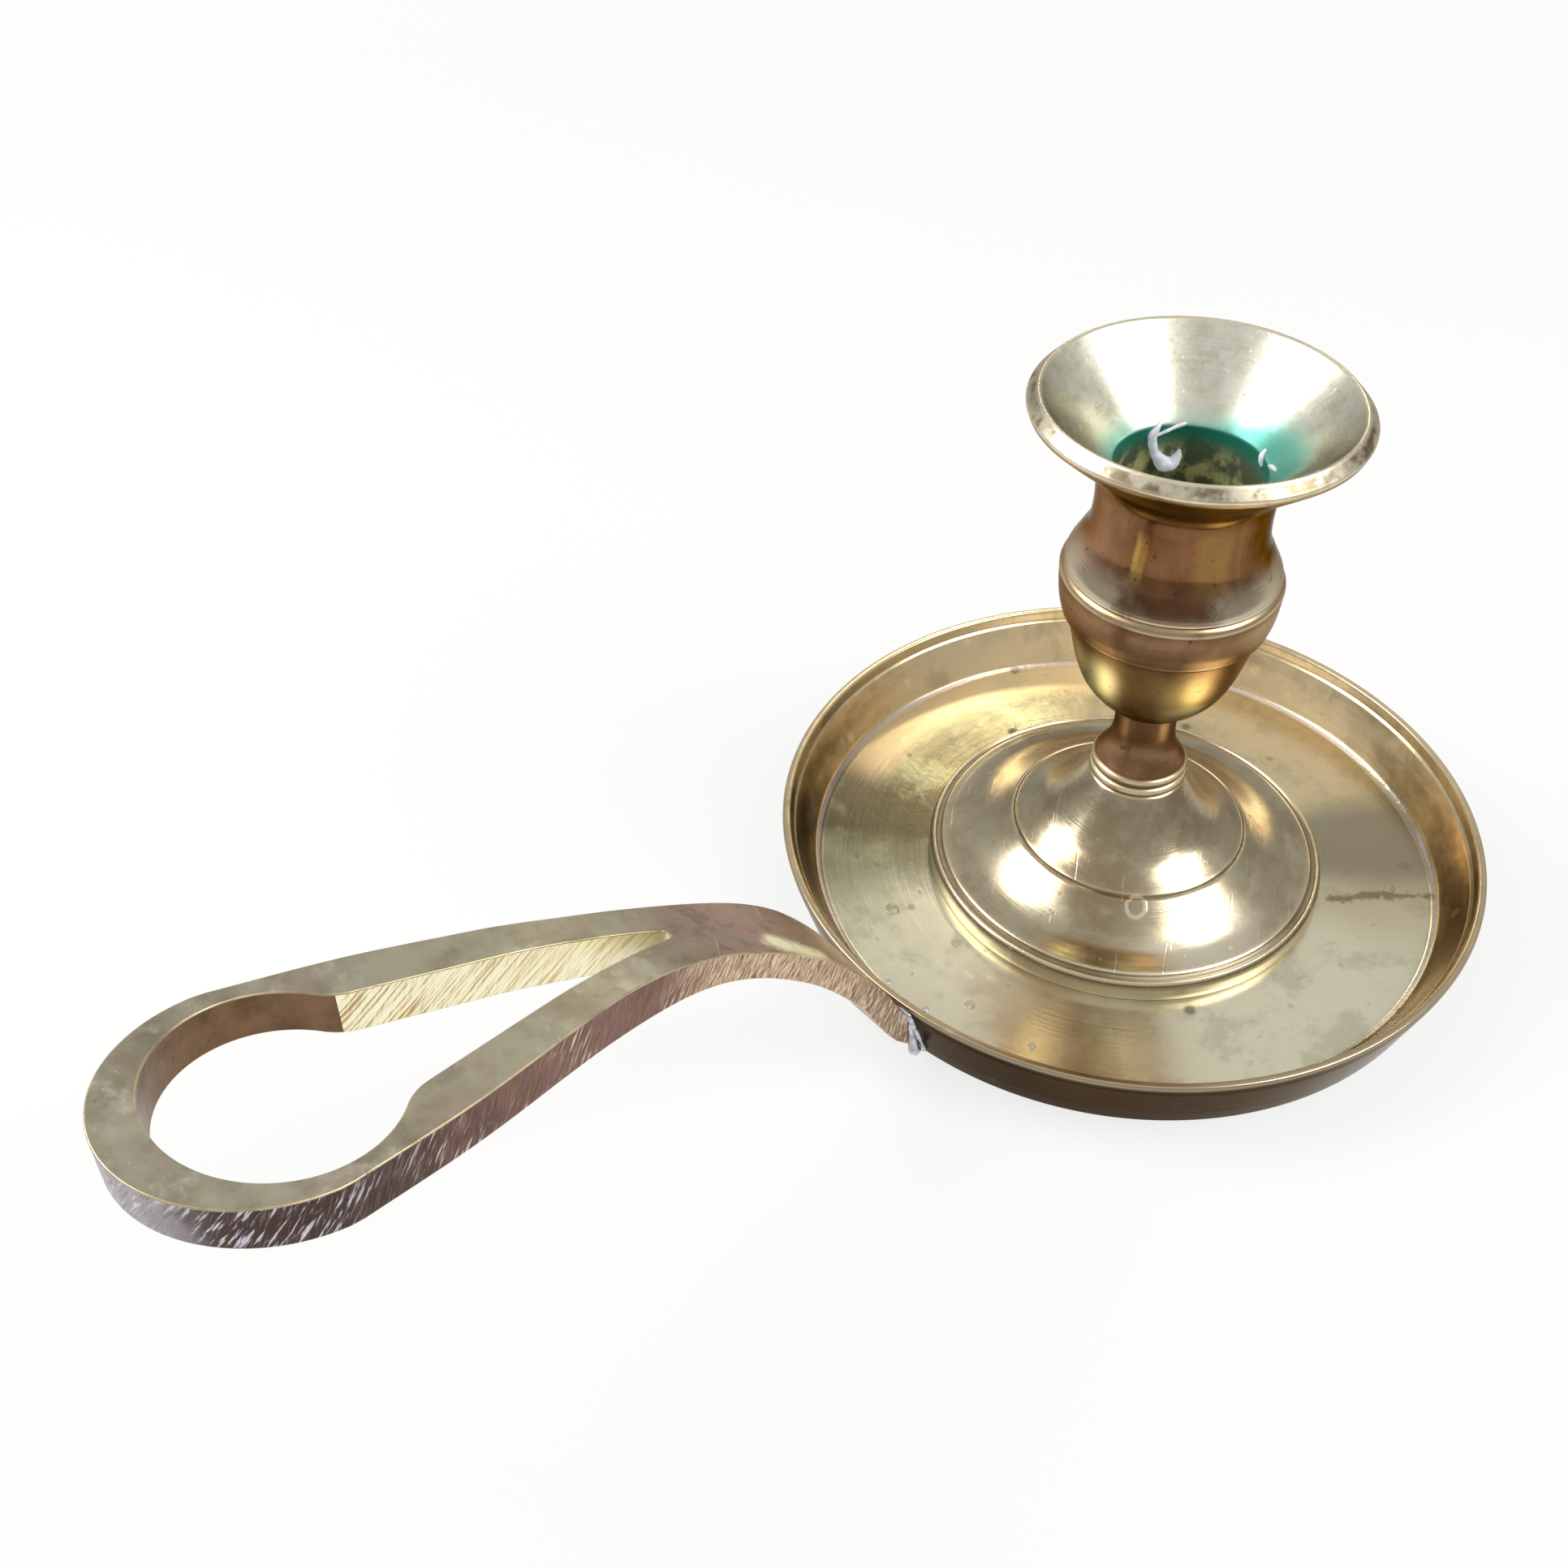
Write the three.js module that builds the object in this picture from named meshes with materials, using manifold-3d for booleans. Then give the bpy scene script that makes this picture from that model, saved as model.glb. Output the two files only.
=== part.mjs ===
// Hand candlestick in brass: a turned drip dish, a bell foot, a slender stem, an urn, a flared nozzle
// for the candle, and a rising flat handle with a keyhole opening to hold or hang it by.
// Millimetres, +Z up. The origin is on the candle's axis, in the plane that the dish stands on,
// and the handle runs out along +X.

import * as THREE from 'three';
import { mergeVertices } from 'three/addons/utils/BufferGeometryUtils.js';
import Module from 'manifold-3d';

// Fits
const turningGap = 0.3;
const solderGap = 0.3;

// Candle and its socket
const candleDiameter = 22;
const candlePlay = 0.4;
const socketFloor = 2.4;

// Drip dish
const rimRadius = 60;
const rimHeight = 13.1;
const rimWidth = 1.3;
const rimDrop = 1.0;
const baseRadius = 56;
const floorHeight = 3.3;
const wallFootInset = 2.2;
const footRingWidth = 5.5;
const undersideRelief = 1.0;
const beadDrop = 1.75;
const beadStep = 0.35;

// Fixing under the dish
const tenonRadius = 3.5;
const nutRadius = 8.6;
const nutHeight = 2.6;
const nutClearance = 0.5;
const nutRoom = 1.4;
const nutSlotWidth = 1.6;
const nutSlotDepth = 1.2;
const hubWall = 3.0;

// Bell foot
const footRadius = 35;
const footEdgeHeight = 2.6;
const footBeadInset = 3.3;
const footBeadHeight = 7.2;
const footTopHeight = 24.3;
const footTopRadius = 7.8;
const footWall = 2.6;
const footGrooveRadius = 19.65;
const footGrooveHeight = 12.75;
const footGrooveWidth = 0.6;

// Stem
const waistRadius = 5.1;
const lowerCollarRadius = 8.2;
const upperCollarRadius = 8;
const upperCollarRise = 3.2;
const waistLength = 6.4;
const stemTop = 40;
const spigotRadius = 3.4;
const spigotLength = 7;

// Urn and nozzle
const urnBottomRadius = 7.6;
const urnStepHeight = 57;
const urnStepRadius = 15.5;
const urnBandHeight = 62.2;
const urnBandRadius = 17.15;
const ledgeHeight = 65.9;
const ledgeRadius = 17.35;
const sleeveSeatHeight = 55.5;
const sleeveWall = 1.6;
const neckRadius = 13.4;
const mouthRadius = 25.2;
const lipRadius = 23.3;
const lipHeight = 95.5;
const lipBevel = 1.8;
const flareDepth = 11.6;
const neckDrop = 19.5;

// Keyhole handle: it reaches out from the dish's rim, and its loop and opening are set back from its tip
const handleReach = 115.2;
const handleTipHeight = 67.7;
const handleFootInset = 3;
const handleFootHalf = 9.8;
const handleEndHeight = 2.4;
const handleNeckHalf = 6.2;
const handleFootDepth = 3.5;
const handleNeckDepth = 4.4;
const handleLoopDepth = 7.1;
const loopEnd = 20.2;
const loopHalf = 17.9;
const holeSetback = 0.8;
const holeRadius = 15.1;
const slotLength = 55.3;
const slotTipRadius = 1.3;
const slotShoulderHalf = 9.3;
const shoulderSoft = 2.6;
const neckLead = 4.9;

const wasm = await Module();
wasm.setup();

// A clean closed mesh: shared corners merged and empty triangles left out
function closed(geometry) {
  const bare = geometry.clone();
  bare.deleteAttribute('normal');
  bare.deleteAttribute('uv');
  const merged = mergeVertices(bare, 1e-4);
  const index = merged.getIndex().array;
  const kept = [];
  for (let i = 0; i < index.length; i += 3) {
    const [a, b, c] = [index[i], index[i + 1], index[i + 2]];
    if (a !== b && b !== c && c !== a) kept.push(a, b, c);
  }
  merged.setIndex(kept);
  return merged;
}

function toSolid(geometry) {
  const mesh = closed(geometry);
  return new wasm.Manifold(new wasm.Mesh({
    numProp: 3,
    vertProperties: new Float32Array(mesh.getAttribute('position').array),
    triVerts: new Uint32Array(mesh.getIndex().array),
  }));
}

function fromSolid(solid) {
  const mesh = solid.getMesh();
  const geometry = new THREE.BufferGeometry();
  geometry.setAttribute('position', new THREE.BufferAttribute(new Float32Array(mesh.vertProperties), 3));
  geometry.setIndex(new THREE.BufferAttribute(new Uint32Array(mesh.triVerts), 1));
  return geometry;
}

// A turned piece: the profile is a list of [radius, height], going round counter-clockwise
function turned(profile, segments) {
  const points = profile.map(([r, z]) => new THREE.Vector2(r, z));
  const onAxis = profile[0][0] === 0 && profile[profile.length - 1][0] === 0;
  if (!onAxis) points.push(points[0].clone());
  const geometry = new THREE.LatheGeometry(points, segments);
  geometry.rotateX(Math.PI / 2);
  return closed(geometry);
}

// Points on a smooth curve through the given [radius, height] stations
function smooth(stations, count) {
  const curve = new THREE.SplineCurve(stations.map(([r, z]) => new THREE.Vector2(r, z)));
  return curve.getPoints(count).map((p) => [p.x, p.y]);
}

// Stations between two corners, each given by its shares of the way from the first to the second
function between([x0, y0], [x1, y1], shares) {
  return shares.map(([a, b]) => [x0 + a * (x1 - x0), y0 + b * (y1 - y0)]);
}

const brass = (color, roughness) => new THREE.MeshStandardMaterial({ color, roughness, metalness: 1 });
const candlestick = new THREE.Group();

function place(name, geometry, material) {
  geometry.computeVertexNormals();
  const mesh = new THREE.Mesh(geometry, material);
  mesh.name = name;
  candlestick.add(mesh);
}

// Drip dish: standing ring and relieved underside, raised hub over the nut, flared wall, turned rim
const socketRadius = candleDiameter / 2 + candlePlay;
const tenonHole = tenonRadius + turningGap;
const nutRecessRadius = nutRadius + nutRoom;
const nutSeat = undersideRelief + nutClearance + nutHeight;
const hubRadius = nutRecessRadius + hubWall;
const hubTop = nutSeat + hubWall;
const wallLean = (rimRadius - baseRadius) / (rimHeight - rimDrop);
const wallRadiusAt = (z) => baseRadius + wallLean * z;
const wallFootRadius = baseRadius - wallFootInset;
const rimInner = rimRadius - rimWidth;
const innerLean = (rimInner - wallFootRadius) / (rimHeight - floorHeight);
const innerRadiusAt = (z) => wallFootRadius + innerLean * (z - floorHeight);
const beadHeight = rimHeight - beadDrop;
const ringInner = baseRadius - footRingWidth;

place('drip_dish', turned([
  [tenonHole, nutSeat],
  [nutRecessRadius, nutSeat],
  [nutRecessRadius, undersideRelief],
  [ringInner, undersideRelief],
  [ringInner + undersideRelief, 0],
  [baseRadius - 0.4, 0],
  [wallRadiusAt(0.5), 0.5],
  [wallRadiusAt(rimHeight - rimDrop - 1.4), rimHeight - rimDrop - 1.4],
  [rimRadius - 0.1, rimHeight - rimDrop],
  [rimRadius, rimHeight - 0.5 * rimDrop],
  [rimRadius - 0.25, rimHeight],
  [rimInner, rimHeight],
  [innerRadiusAt(beadHeight) + beadStep, beadHeight],
  [innerRadiusAt(beadHeight) - 0.1, beadHeight - beadStep],
  [innerRadiusAt(floorHeight + 1), floorHeight + 1],
  [wallFootRadius, floorHeight + 0.35],
  [wallFootRadius - 0.7, floorHeight],
  [hubRadius, floorHeight],
  [hubRadius, hubTop],
  [tenonHole, hubTop],
], 56), brass(0xb59a5c, 0.36));

// Bell foot: hollow, with an edge bead, a hollow moulding, a turned line and a flat top for the stem
const footBeadRadius = footRadius - footBeadInset;
const footWebTop = footTopHeight - 1.3 * footWall;
const grooveHalf = footGrooveWidth / 2;
const grooveSlope = 0.62;
const footEdgeTop = floorHeight + footEdgeHeight;
const footBeadTop = [footBeadRadius - 0.3, footBeadHeight + 0.1];
const grooveOuter = [footGrooveRadius + grooveHalf, footGrooveHeight - grooveHalf * grooveSlope];
const grooveInner = [footGrooveRadius - grooveHalf, footGrooveHeight + grooveHalf * grooveSlope];
const footTopEdge = [footTopRadius, footTopHeight];
const hollowTop = [footTopRadius - 0.85 * footWall, footWebTop];
const hollowFoot = [footRadius - 1.6 * footWall, floorHeight + 0.6 * footWall];
place('bell_foot', turned([
  [footRadius - 0.1, floorHeight],
  [footRadius, floorHeight + 0.8],
  [footRadius - 0.45, footEdgeTop - 0.7],
  [footRadius - 1.1, footEdgeTop - 0.15],
  [footRadius - 0.95, footEdgeTop + 0.4],
  [footRadius - 1.3, footEdgeTop + 0.95],
  [footRadius - 1.9, footEdgeTop + 0.95],
  [footRadius - 2.3, footEdgeTop + 0.6],
  [footBeadRadius + 0.4, footBeadHeight - 0.65],
  [footBeadRadius + 0.2, footBeadHeight - 0.1],
  footBeadTop,
  ...smooth([...between(footBeadTop, grooveOuter, [[0.17, 0.05], [0.36, 0.19], [0.6, 0.46]]), grooveOuter], 6),
  [footGrooveRadius - 0.1, footGrooveHeight - 0.35],
  ...smooth([
    grooveInner,
    ...between(grooveInner, footTopEdge, [[0.21, 0.14], [0.43, 0.29], [0.69, 0.57]]),
    footTopEdge,
  ], 8),
  [tenonHole, footTopHeight],
  [tenonHole, footWebTop],
  hollowTop,
  ...between(hollowTop, hollowFoot, [[0.27, 0.43], [0.53, 0.71], [0.8, 0.92]]),
  hollowFoot,
  [footRadius - 1.5 * footWall, floorHeight],
], 48), brass(0xa9936a, 0.3));

// Stem: threaded tenon through foot and dish, two collars, a hollow flare, a waist, a spigot for the urn
const upperCollarHeight = footTopHeight + upperCollarRise;
const collarTop = [upperCollarRadius - 0.6, upperCollarHeight + 0.1];
const waistBottom = [waistRadius, stemTop - waistLength];
place('stem', turned([
  [0, 0],
  [tenonRadius, 0],
  [tenonRadius, footTopHeight],
  [lowerCollarRadius - 0.3, footTopHeight],
  [lowerCollarRadius, footTopHeight + 0.5],
  [lowerCollarRadius - 0.2, footTopHeight + 1.2],
  [upperCollarRadius - 0.6, footTopHeight + 1.6],
  [upperCollarRadius - 0.1, upperCollarHeight - 1.1],
  [upperCollarRadius, upperCollarHeight - 0.6],
  [upperCollarRadius - 0.2, upperCollarHeight - 0.1],
  ...smooth([collarTop, ...between(collarTop, waistBottom, [[0.42, 0.27], [0.79, 0.58]]), waistBottom], 5),
  [waistRadius, stemTop],
  [spigotRadius, stemTop],
  [spigotRadius, stemTop + spigotLength],
  [0, stemTop + spigotLength],
], 32), brass(0x7d6136, 0.3));

// Slotted round nut on the tenon
const nutBottom = nutSeat - nutHeight;
const nutBlank = toSolid(turned([
  [tenonHole, nutBottom],
  [nutRadius - 0.5, nutBottom],
  [nutRadius, nutBottom + 0.5],
  [nutRadius, nutSeat],
  [tenonHole, nutSeat],
], 28));
const nutSlot = new THREE.BoxGeometry(2.4 * nutRadius, nutSlotWidth, 2 * nutSlotDepth);
nutSlot.translate(0, 0, nutBottom);
place('tenon_nut', fromSolid(nutBlank.subtract(toSolid(nutSlot))), brass(0x8c7440, 0.42));

// Urn: round bowl, a turned step, a swelling band and a rounded ledge, bored for the nozzle's sleeve
const spigotHole = spigotRadius + turningGap;
const sleeveRadius = socketRadius + sleeveWall;
const urnBore = sleeveRadius + turningGap;
const bowlBottom = [urnBottomRadius + 0.3, stemTop + 0.5];
const bowlTop = [urnStepRadius - 0.4, urnStepHeight - 0.8];
const stepTop = [urnStepRadius + 0.5, urnStepHeight + 0.3];
const bandBottom = [urnBandRadius, urnBandHeight];
place('urn', turned([
  [spigotHole, stemTop],
  [urnBottomRadius, stemTop],
  bowlBottom,
  ...smooth([
    ...between(bowlBottom, bowlTop, [[0.08, 0.03], [0.29, 0.13], [0.54, 0.29], [0.72, 0.5], [0.86, 0.73]]),
    bowlTop,
  ], 9),
  [urnStepRadius - 0.15, urnStepHeight],
  stepTop,
  ...smooth([
    ...between(stepTop, bandBottom, [[0.26, 0.08], [0.74, 0.51]]),
    bandBottom,
    [ledgeRadius - 0.1, ledgeHeight - 1.5],
  ], 6),
  [ledgeRadius, ledgeHeight - 1],
  [ledgeRadius - 0.35, ledgeHeight - 0.35],
  [ledgeRadius - 0.85, ledgeHeight],
  [urnBore, ledgeHeight],
  [urnBore, sleeveSeatHeight],
  [spigotHole, sleeveSeatHeight],
], 40), brass(0x8f6b3a, 0.3));

// Nozzle: sleeve in the urn, shoulder, neck, trumpet flare, bevelled lip, cone and candle socket
const mouthHeight = lipHeight - lipBevel;
const flareBottom = lipHeight - flareDepth;
const shoulderBottom = [ledgeRadius - 0.65, ledgeHeight + 0.3];
const neck = [neckRadius, lipHeight - neckDrop];
const flareTop = [mouthRadius - 0.4, mouthHeight - 1];
place('flared_nozzle', turned([
  [0, sleeveSeatHeight],
  [sleeveRadius, sleeveSeatHeight],
  [sleeveRadius, ledgeHeight],
  [ledgeRadius - 0.95, ledgeHeight],
  ...smooth([
    shoulderBottom,
    ...between(shoulderBottom, neck, [[0.09, 0.12], [0.48, 0.38], [0.87, 0.66]]),
    neck,
    ...between(neck, flareTop, [[0.005, 0.21], [0.026, 0.36], [0.12, 0.48], [0.33, 0.61], [0.67, 0.8]]),
    flareTop,
  ], 18),
  [mouthRadius, mouthHeight],
  [lipRadius + 0.2, lipHeight],
  [lipRadius - 0.3, lipHeight - 0.15],
  [socketRadius + 0.3, flareBottom + 0.2],
  [socketRadius, flareBottom - 0.2],
  [socketRadius, sleeveSeatHeight + socketFloor],
  [0, sleeveSeatHeight + socketFloor],
], 40), brass(0xa3854b, 0.28));

// Keyhole handle, cut from a bent bar: side curve across, outline down, end coped to the dish wall
const handleFootX = rimRadius - handleFootInset;
const handleTipX = rimRadius + handleReach;
const handleRootX = baseRadius - handleFootInset;
const loopCentreX = handleTipX - loopEnd;
const holeCentreX = loopCentreX - holeSetback;
const slotTipX = holeCentreX - slotLength;
const handleNeckX = slotTipX - neckLead;
const arch = between([rimRadius, 0], [handleTipX, handleTipHeight], [
  [0, 0.157],
  [0.052, 0.326],
  [0.13, 0.499],
  [0.226, 0.637],
  [0.339, 0.746],
  [0.469, 0.824],
  [0.616, 0.876],
  [0.844, 0.948],
  [1, 1],
]);
const topCurve = new THREE.SplineCurve(
  [[handleFootX, handleEndHeight + 2], ...arch].map(([x, z]) => new THREE.Vector2(x, z)),
);
const archSteps = 30;
const depthAt = (x) => {
  const share = (x - handleFootX) / (handleNeckX - handleFootX);
  return handleFootDepth
    + (handleNeckDepth - handleFootDepth) * THREE.MathUtils.smoothstep(share, 0.14, 0.62)
    + (handleLoopDepth - handleNeckDepth) * THREE.MathUtils.smoothstep(share, 0.68, 1.48);
};
const topPoints = topCurve.getPoints(archSteps);
const underPoints = topPoints.map((p, i) => {
  const tangent = topCurve.getTangent(i / archSteps);
  const depth = depthAt(p.x);
  return new THREE.Vector2(p.x + depth * tangent.y, p.y - depth * tangent.x);
});
const firstUnder = underPoints.findIndex((p) => p.y > handleEndHeight);
const sideShape = new THREE.Shape([
  new THREE.Vector2(handleRootX, handleEndHeight),
  new THREE.Vector2(underPoints[firstUnder].x - 0.8, handleEndHeight),
  ...underPoints.slice(firstUnder),
  new THREE.Vector2(handleTipX + handleLoopDepth, underPoints[archSteps].y + 1),
  new THREE.Vector2(handleTipX + handleLoopDepth, handleTipHeight + 1),
  ...topPoints.slice().reverse(),
  new THREE.Vector2(handleRootX, handleEndHeight + 1),
]);
const barWidth = 2 * loopHalf + 4;
const bar = new THREE.ExtrudeGeometry(sideShape, { depth: barWidth, bevelEnabled: false, steps: 1 });
bar.rotateX(Math.PI / 2);
bar.translate(0, barWidth / 2, 0);

const footCorner = [handleFootX, handleFootHalf];
const neckCorner = [handleNeckX, handleNeckHalf];
const halfOutline = [
  [handleRootX, handleFootHalf],
  ...between(footCorner, neckCorner, [[0.08, 0.55], [0.24, 0.72], [0.57, 0.86]]),
  neckCorner,
  ...between(neckCorner, [loopCentreX, loopHalf], [[0.23, 0.15], [0.46, 0.44], [0.72, 0.76]]),
].map(([x, y]) => new THREE.Vector2(x, y));
const mirrored = (points) => points.map((p) => new THREE.Vector2(p.x, -p.y));
const outline = new THREE.Shape();
outline.moveTo(halfOutline[0].x, -halfOutline[0].y);
outline.splineThru([...mirrored(halfOutline).slice(1), new THREE.Vector2(loopCentreX, -loopHalf)]);
outline.absellipse(loopCentreX, 0, handleTipX - loopCentreX, loopHalf, -Math.PI / 2, Math.PI / 2, false);
outline.splineThru(halfOutline.slice().reverse());

// The opening's shoulders, where slot and hole meet, are filed round
const shoulderTurn = Math.asin(slotShoulderHalf / holeRadius);
const softTurn = shoulderTurn + shoulderSoft / holeRadius;
const shoulder = new THREE.Vector2(holeCentreX - holeRadius * Math.cos(shoulderTurn), slotShoulderHalf);
const slotCourse = shoulder.clone().sub(new THREE.Vector2(slotTipX, slotTipRadius)).normalize();
const slotEnd = shoulder.clone().addScaledVector(slotCourse, -shoulderSoft);
const softX = holeCentreX - holeRadius * Math.cos(softTurn);
const softY = holeRadius * Math.sin(softTurn);
const keyhole = new THREE.Path();
keyhole.absarc(holeCentreX, 0, holeRadius, Math.PI - softTurn, softTurn - Math.PI, true);
keyhole.quadraticCurveTo(shoulder.x, -shoulder.y, slotEnd.x, -slotEnd.y);
keyhole.lineTo(slotTipX, -slotTipRadius);
keyhole.absarc(slotTipX, 0, slotTipRadius, -Math.PI / 2, Math.PI / 2, true);
keyhole.lineTo(slotEnd.x, slotEnd.y);
keyhole.quadraticCurveTo(shoulder.x, shoulder.y, softX, softY);
outline.holes.push(keyhole);
const blade = new THREE.ExtrudeGeometry(outline, {
  depth: handleTipHeight + 8,
  bevelEnabled: false,
  steps: 1,
  curveSegments: 20,
});

const dishWall = turned([
  [0, -2],
  [wallRadiusAt(-2) + solderGap, -2],
  [wallRadiusAt(rimHeight) + solderGap, rimHeight],
  [wallRadiusAt(rimHeight) + solderGap, rimHeight + 2],
  [0, rimHeight + 2],
], 112);
const handle = toSolid(bar).intersect(toSolid(blade)).subtract(toSolid(dishWall));
place('keyhole_handle', fromSolid(handle), brass(0xa08a5a, 0.42));

export default candlestick;
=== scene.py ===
import math
import bmesh
import bpy
from mathutils import Matrix, Vector


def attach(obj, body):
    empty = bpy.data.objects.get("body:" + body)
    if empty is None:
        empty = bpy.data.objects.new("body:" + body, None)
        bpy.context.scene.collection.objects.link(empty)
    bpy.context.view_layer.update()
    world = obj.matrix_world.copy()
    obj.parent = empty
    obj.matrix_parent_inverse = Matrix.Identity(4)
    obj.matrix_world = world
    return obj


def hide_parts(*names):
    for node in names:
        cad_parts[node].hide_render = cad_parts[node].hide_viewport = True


# Brass hand candlestick: turned dish, foot, stem, urn and nozzle, and a keyhole handle.
# Lengths in the dictionaries and finishes are millimetres, tones are screen values, meshes are in metres.
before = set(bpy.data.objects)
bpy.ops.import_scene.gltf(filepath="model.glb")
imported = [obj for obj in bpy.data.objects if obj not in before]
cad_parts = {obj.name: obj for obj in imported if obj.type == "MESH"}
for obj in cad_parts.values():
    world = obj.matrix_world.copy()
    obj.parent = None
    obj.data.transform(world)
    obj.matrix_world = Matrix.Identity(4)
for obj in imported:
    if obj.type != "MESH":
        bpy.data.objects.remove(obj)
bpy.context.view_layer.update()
scene = bpy.context.scene
scene.view_settings.view_transform = "Standard"
mm = 0.001
making = {
    "merge": 1e-6, "weld": 1e-7, "ringTurn": 0.0004, "hairStretch": 0.06, "spotCore": 0.4, "bandCore": 0.35,
    "beadSides": 14, "dropSegments": 20, "dropRings": 14,
}
print("frame loaded:", len(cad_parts), "nodes")


def operator(operation, swapped=False):
    def act(self, other):
        return self.calc(operation, other, self) if swapped else self.calc(operation, self, other)
    return act


# one socket of a node tree; the operators add Math nodes
class Wire:
    __add__ = operator("ADD")
    __radd__ = operator("ADD", True)
    __sub__ = operator("SUBTRACT")
    __rsub__ = operator("SUBTRACT", True)
    __mul__ = operator("MULTIPLY")
    __rmul__ = operator("MULTIPLY", True)
    __truediv__ = operator("DIVIDE")

    def __init__(self, bench, socket):
        self.bench = bench
        self.socket = socket

    def out(self, name):
        return Wire(self.bench, self.socket.node.outputs[name])

    def calc(self, operation, first, second=0.0):
        return self.bench.add("ShaderNodeMath", {0: first, 1: second}, operation=operation)

    def larger(self, other):
        return self.calc("MAXIMUM", self, other)

    def cosine(self):
        return self.calc("COSINE", self)

    # smooth step from 0 at low to 1 at high
    def step(self, low, high):
        sockets = {0: self, 1: low, 2: high}
        return self.bench.add("ShaderNodeMapRange", sockets, interpolation_type="SMOOTHSTEP")

    def fall(self, low, high):
        return 1 - self.step(low, high)

    # 1 at the centre of a band and 0 at half its width away
    def band(self, centre, half):
        return self.calc("ABSOLUTE", self - centre).fall(making["bandCore"] * half, half)

    # a noise about its middle, times an amount
    def sway(self, amount):
        return (self - 0.5) * amount

    def noise(self, scale, detail=4.0, rough=0.55, bend=0.0):
        sockets = {"Vector": self, "Scale": scale, "Detail": detail, "Roughness": rough, "Distortion": bend}
        return self.bench.add("ShaderNodeTexNoise", sockets)

    # a vector scaled along the axes, then turned about them
    def shift(self, turn=(0, 0, 0), scale=(1, 1, 1)):
        return self.bench.add("ShaderNodeMapping", {"Vector": self, "Scale": scale, "Rotation": turn})

    def turned(self, angle):
        sockets = {"Vector": self, "Angle": angle}
        return self.bench.add("ShaderNodeVectorRotate", sockets, rotation_type="Z_AXIS")

    # a vector turned about Z, then drawn out along its new Y
    def drawn(self, angle, stretch):
        return self.turned(angle).shift(scale=(1, stretch, stretch))


# a node tree that nodes are added to
class Bench:
    def __init__(self, tree):
        self.tree = tree

    def add(self, kind, inputs=None, output=0, **settings):
        node = self.tree.nodes.new(kind)
        for name, value in settings.items():
            setattr(node, name, value)
        for key, value in (inputs or {}).items():
            if isinstance(value, Wire):
                self.tree.links.new(value.socket, node.inputs[key])
            else:
                node.inputs[key].default_value = value
        return Wire(self, node.outputs[output]) if node.outputs else None

    def mix(self, share, first, second):
        return self.add("ShaderNodeMix", {0: share, 6: first, 7: second}, 2, data_type="RGBA")

    def vector(self, x, y, z):
        return self.add("ShaderNodeCombineXYZ", {0: x, 1: y, 2: z})

    def split(self, vector):
        x = self.add("ShaderNodeSeparateXYZ", {0: vector})
        return x, x.out("Y"), x.out("Z")

    def vectorMath(self, operation, first, second, output="Vector"):
        return self.add("ShaderNodeVectorMath", {0: first, 1: second}, output, operation=operation)

    def point(self):
        return self.add("ShaderNodeTexCoord", output="Object")

    def mark(self, name):
        return self.add("ShaderNodeAttribute", output="Fac", attribute_name=name)

    def named(self, name):
        return self.add("GeometryNodeInputNamedAttribute", {"Name": name})

    # a node that changes the geometry it is given
    def shape(self, kind, geometry, **inputs):
        return self.add("GeometryNode" + kind, {"Geometry": geometry, **inputs})


# a colour by its screen values from 0 to 255
def tone(*values):
    shares = [value / 255 for value in values]
    return (*[s / 12.92 if s <= 0.04045 else ((s + 0.055) / 1.055) ** 2.4 for s in shares], 1.0)


# a colour built of two tones mixed by a share, with others laid over
class Coats:
    def __init__(self, tones, share, first, second):
        self.tones = tones
        self.colour = tone(*tones[first])
        self.over(share, second)

    def over(self, share, coat):
        laid = coat.colour if isinstance(coat, Coats) else tone(*self.tones[coat])
        self.colour = share.bench.mix(share, self.colour, laid)


# where a point is on turned work, its broad and fine noise, and the rings left by the turning tool
def turnedPlace(bench, settings):
    point = bench.point()
    x, y, z = bench.split(point)
    flat = bench.vectorMath("MULTIPLY", point, (1, 1, 0))
    radius = bench.vectorMath("LENGTH", flat, (0, 0, 0), "Value")
    angle = x.calc("ARCTAN2", y, x)
    broad = point.noise(*settings["broad"])
    fine = point.noise(settings["fine"], 3)
    rings = bench.vector(radius, z, angle * making["ringTurn"]).noise(settings["rings"], 3, 0.6)
    return point, radius / mm, z / mm, angle, broad, fine, rings


# marks of worn edges and hollows, and wear that runs round turned work
def wornMarks(turn, first, second, scale):
    bench = turn.bench
    worn = bench.vector(turn, first * mm, second * mm).noise(scale, 4, 0.6)
    return bench.mark("edgeWear"), bench.mark("hollow"), worn


# short hairlines in one direction
def hairlines(point, scale, turn, low, high):
    return point.drawn(turn, making["hairStretch"]).noise(scale, 2, 0.5).step(low, high)


# round spots of a size, in a share of the cells
def softSpots(point, scale, size, share):
    cell = point.bench.add("ShaderNodeTexVoronoi", {"Vector": point, "Scale": scale})
    pick = point.bench.add("ShaderNodeSeparateColor", {0: cell.out("Color")})
    return pick.step(1 - share, 1.02 - share) * cell.fall(size * making["spotCore"], size)


# distance in plan from the line between two places
def planDistance(point, start, end):
    bench = point.bench
    first = Vector((*start, 0))
    course = Vector((*end, 0)) - first
    flat = bench.vectorMath("MULTIPLY", point, (1 / mm, 1 / mm, 0))
    offset = bench.vectorMath("SUBTRACT", flat, first)
    along = bench.vectorMath("DOT_PRODUCT", offset, course, "Value")
    sockets = {0: along, 1: course.length_squared}
    share = bench.add("ShaderNodeMath", sockets, operation="DIVIDE", use_clamp=True)
    nearest = bench.add("ShaderNodeVectorMath", {0: course, "Scale": share}, operation="SCALE")
    return bench.vectorMath("DISTANCE", offset, nearest, "Value")


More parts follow.
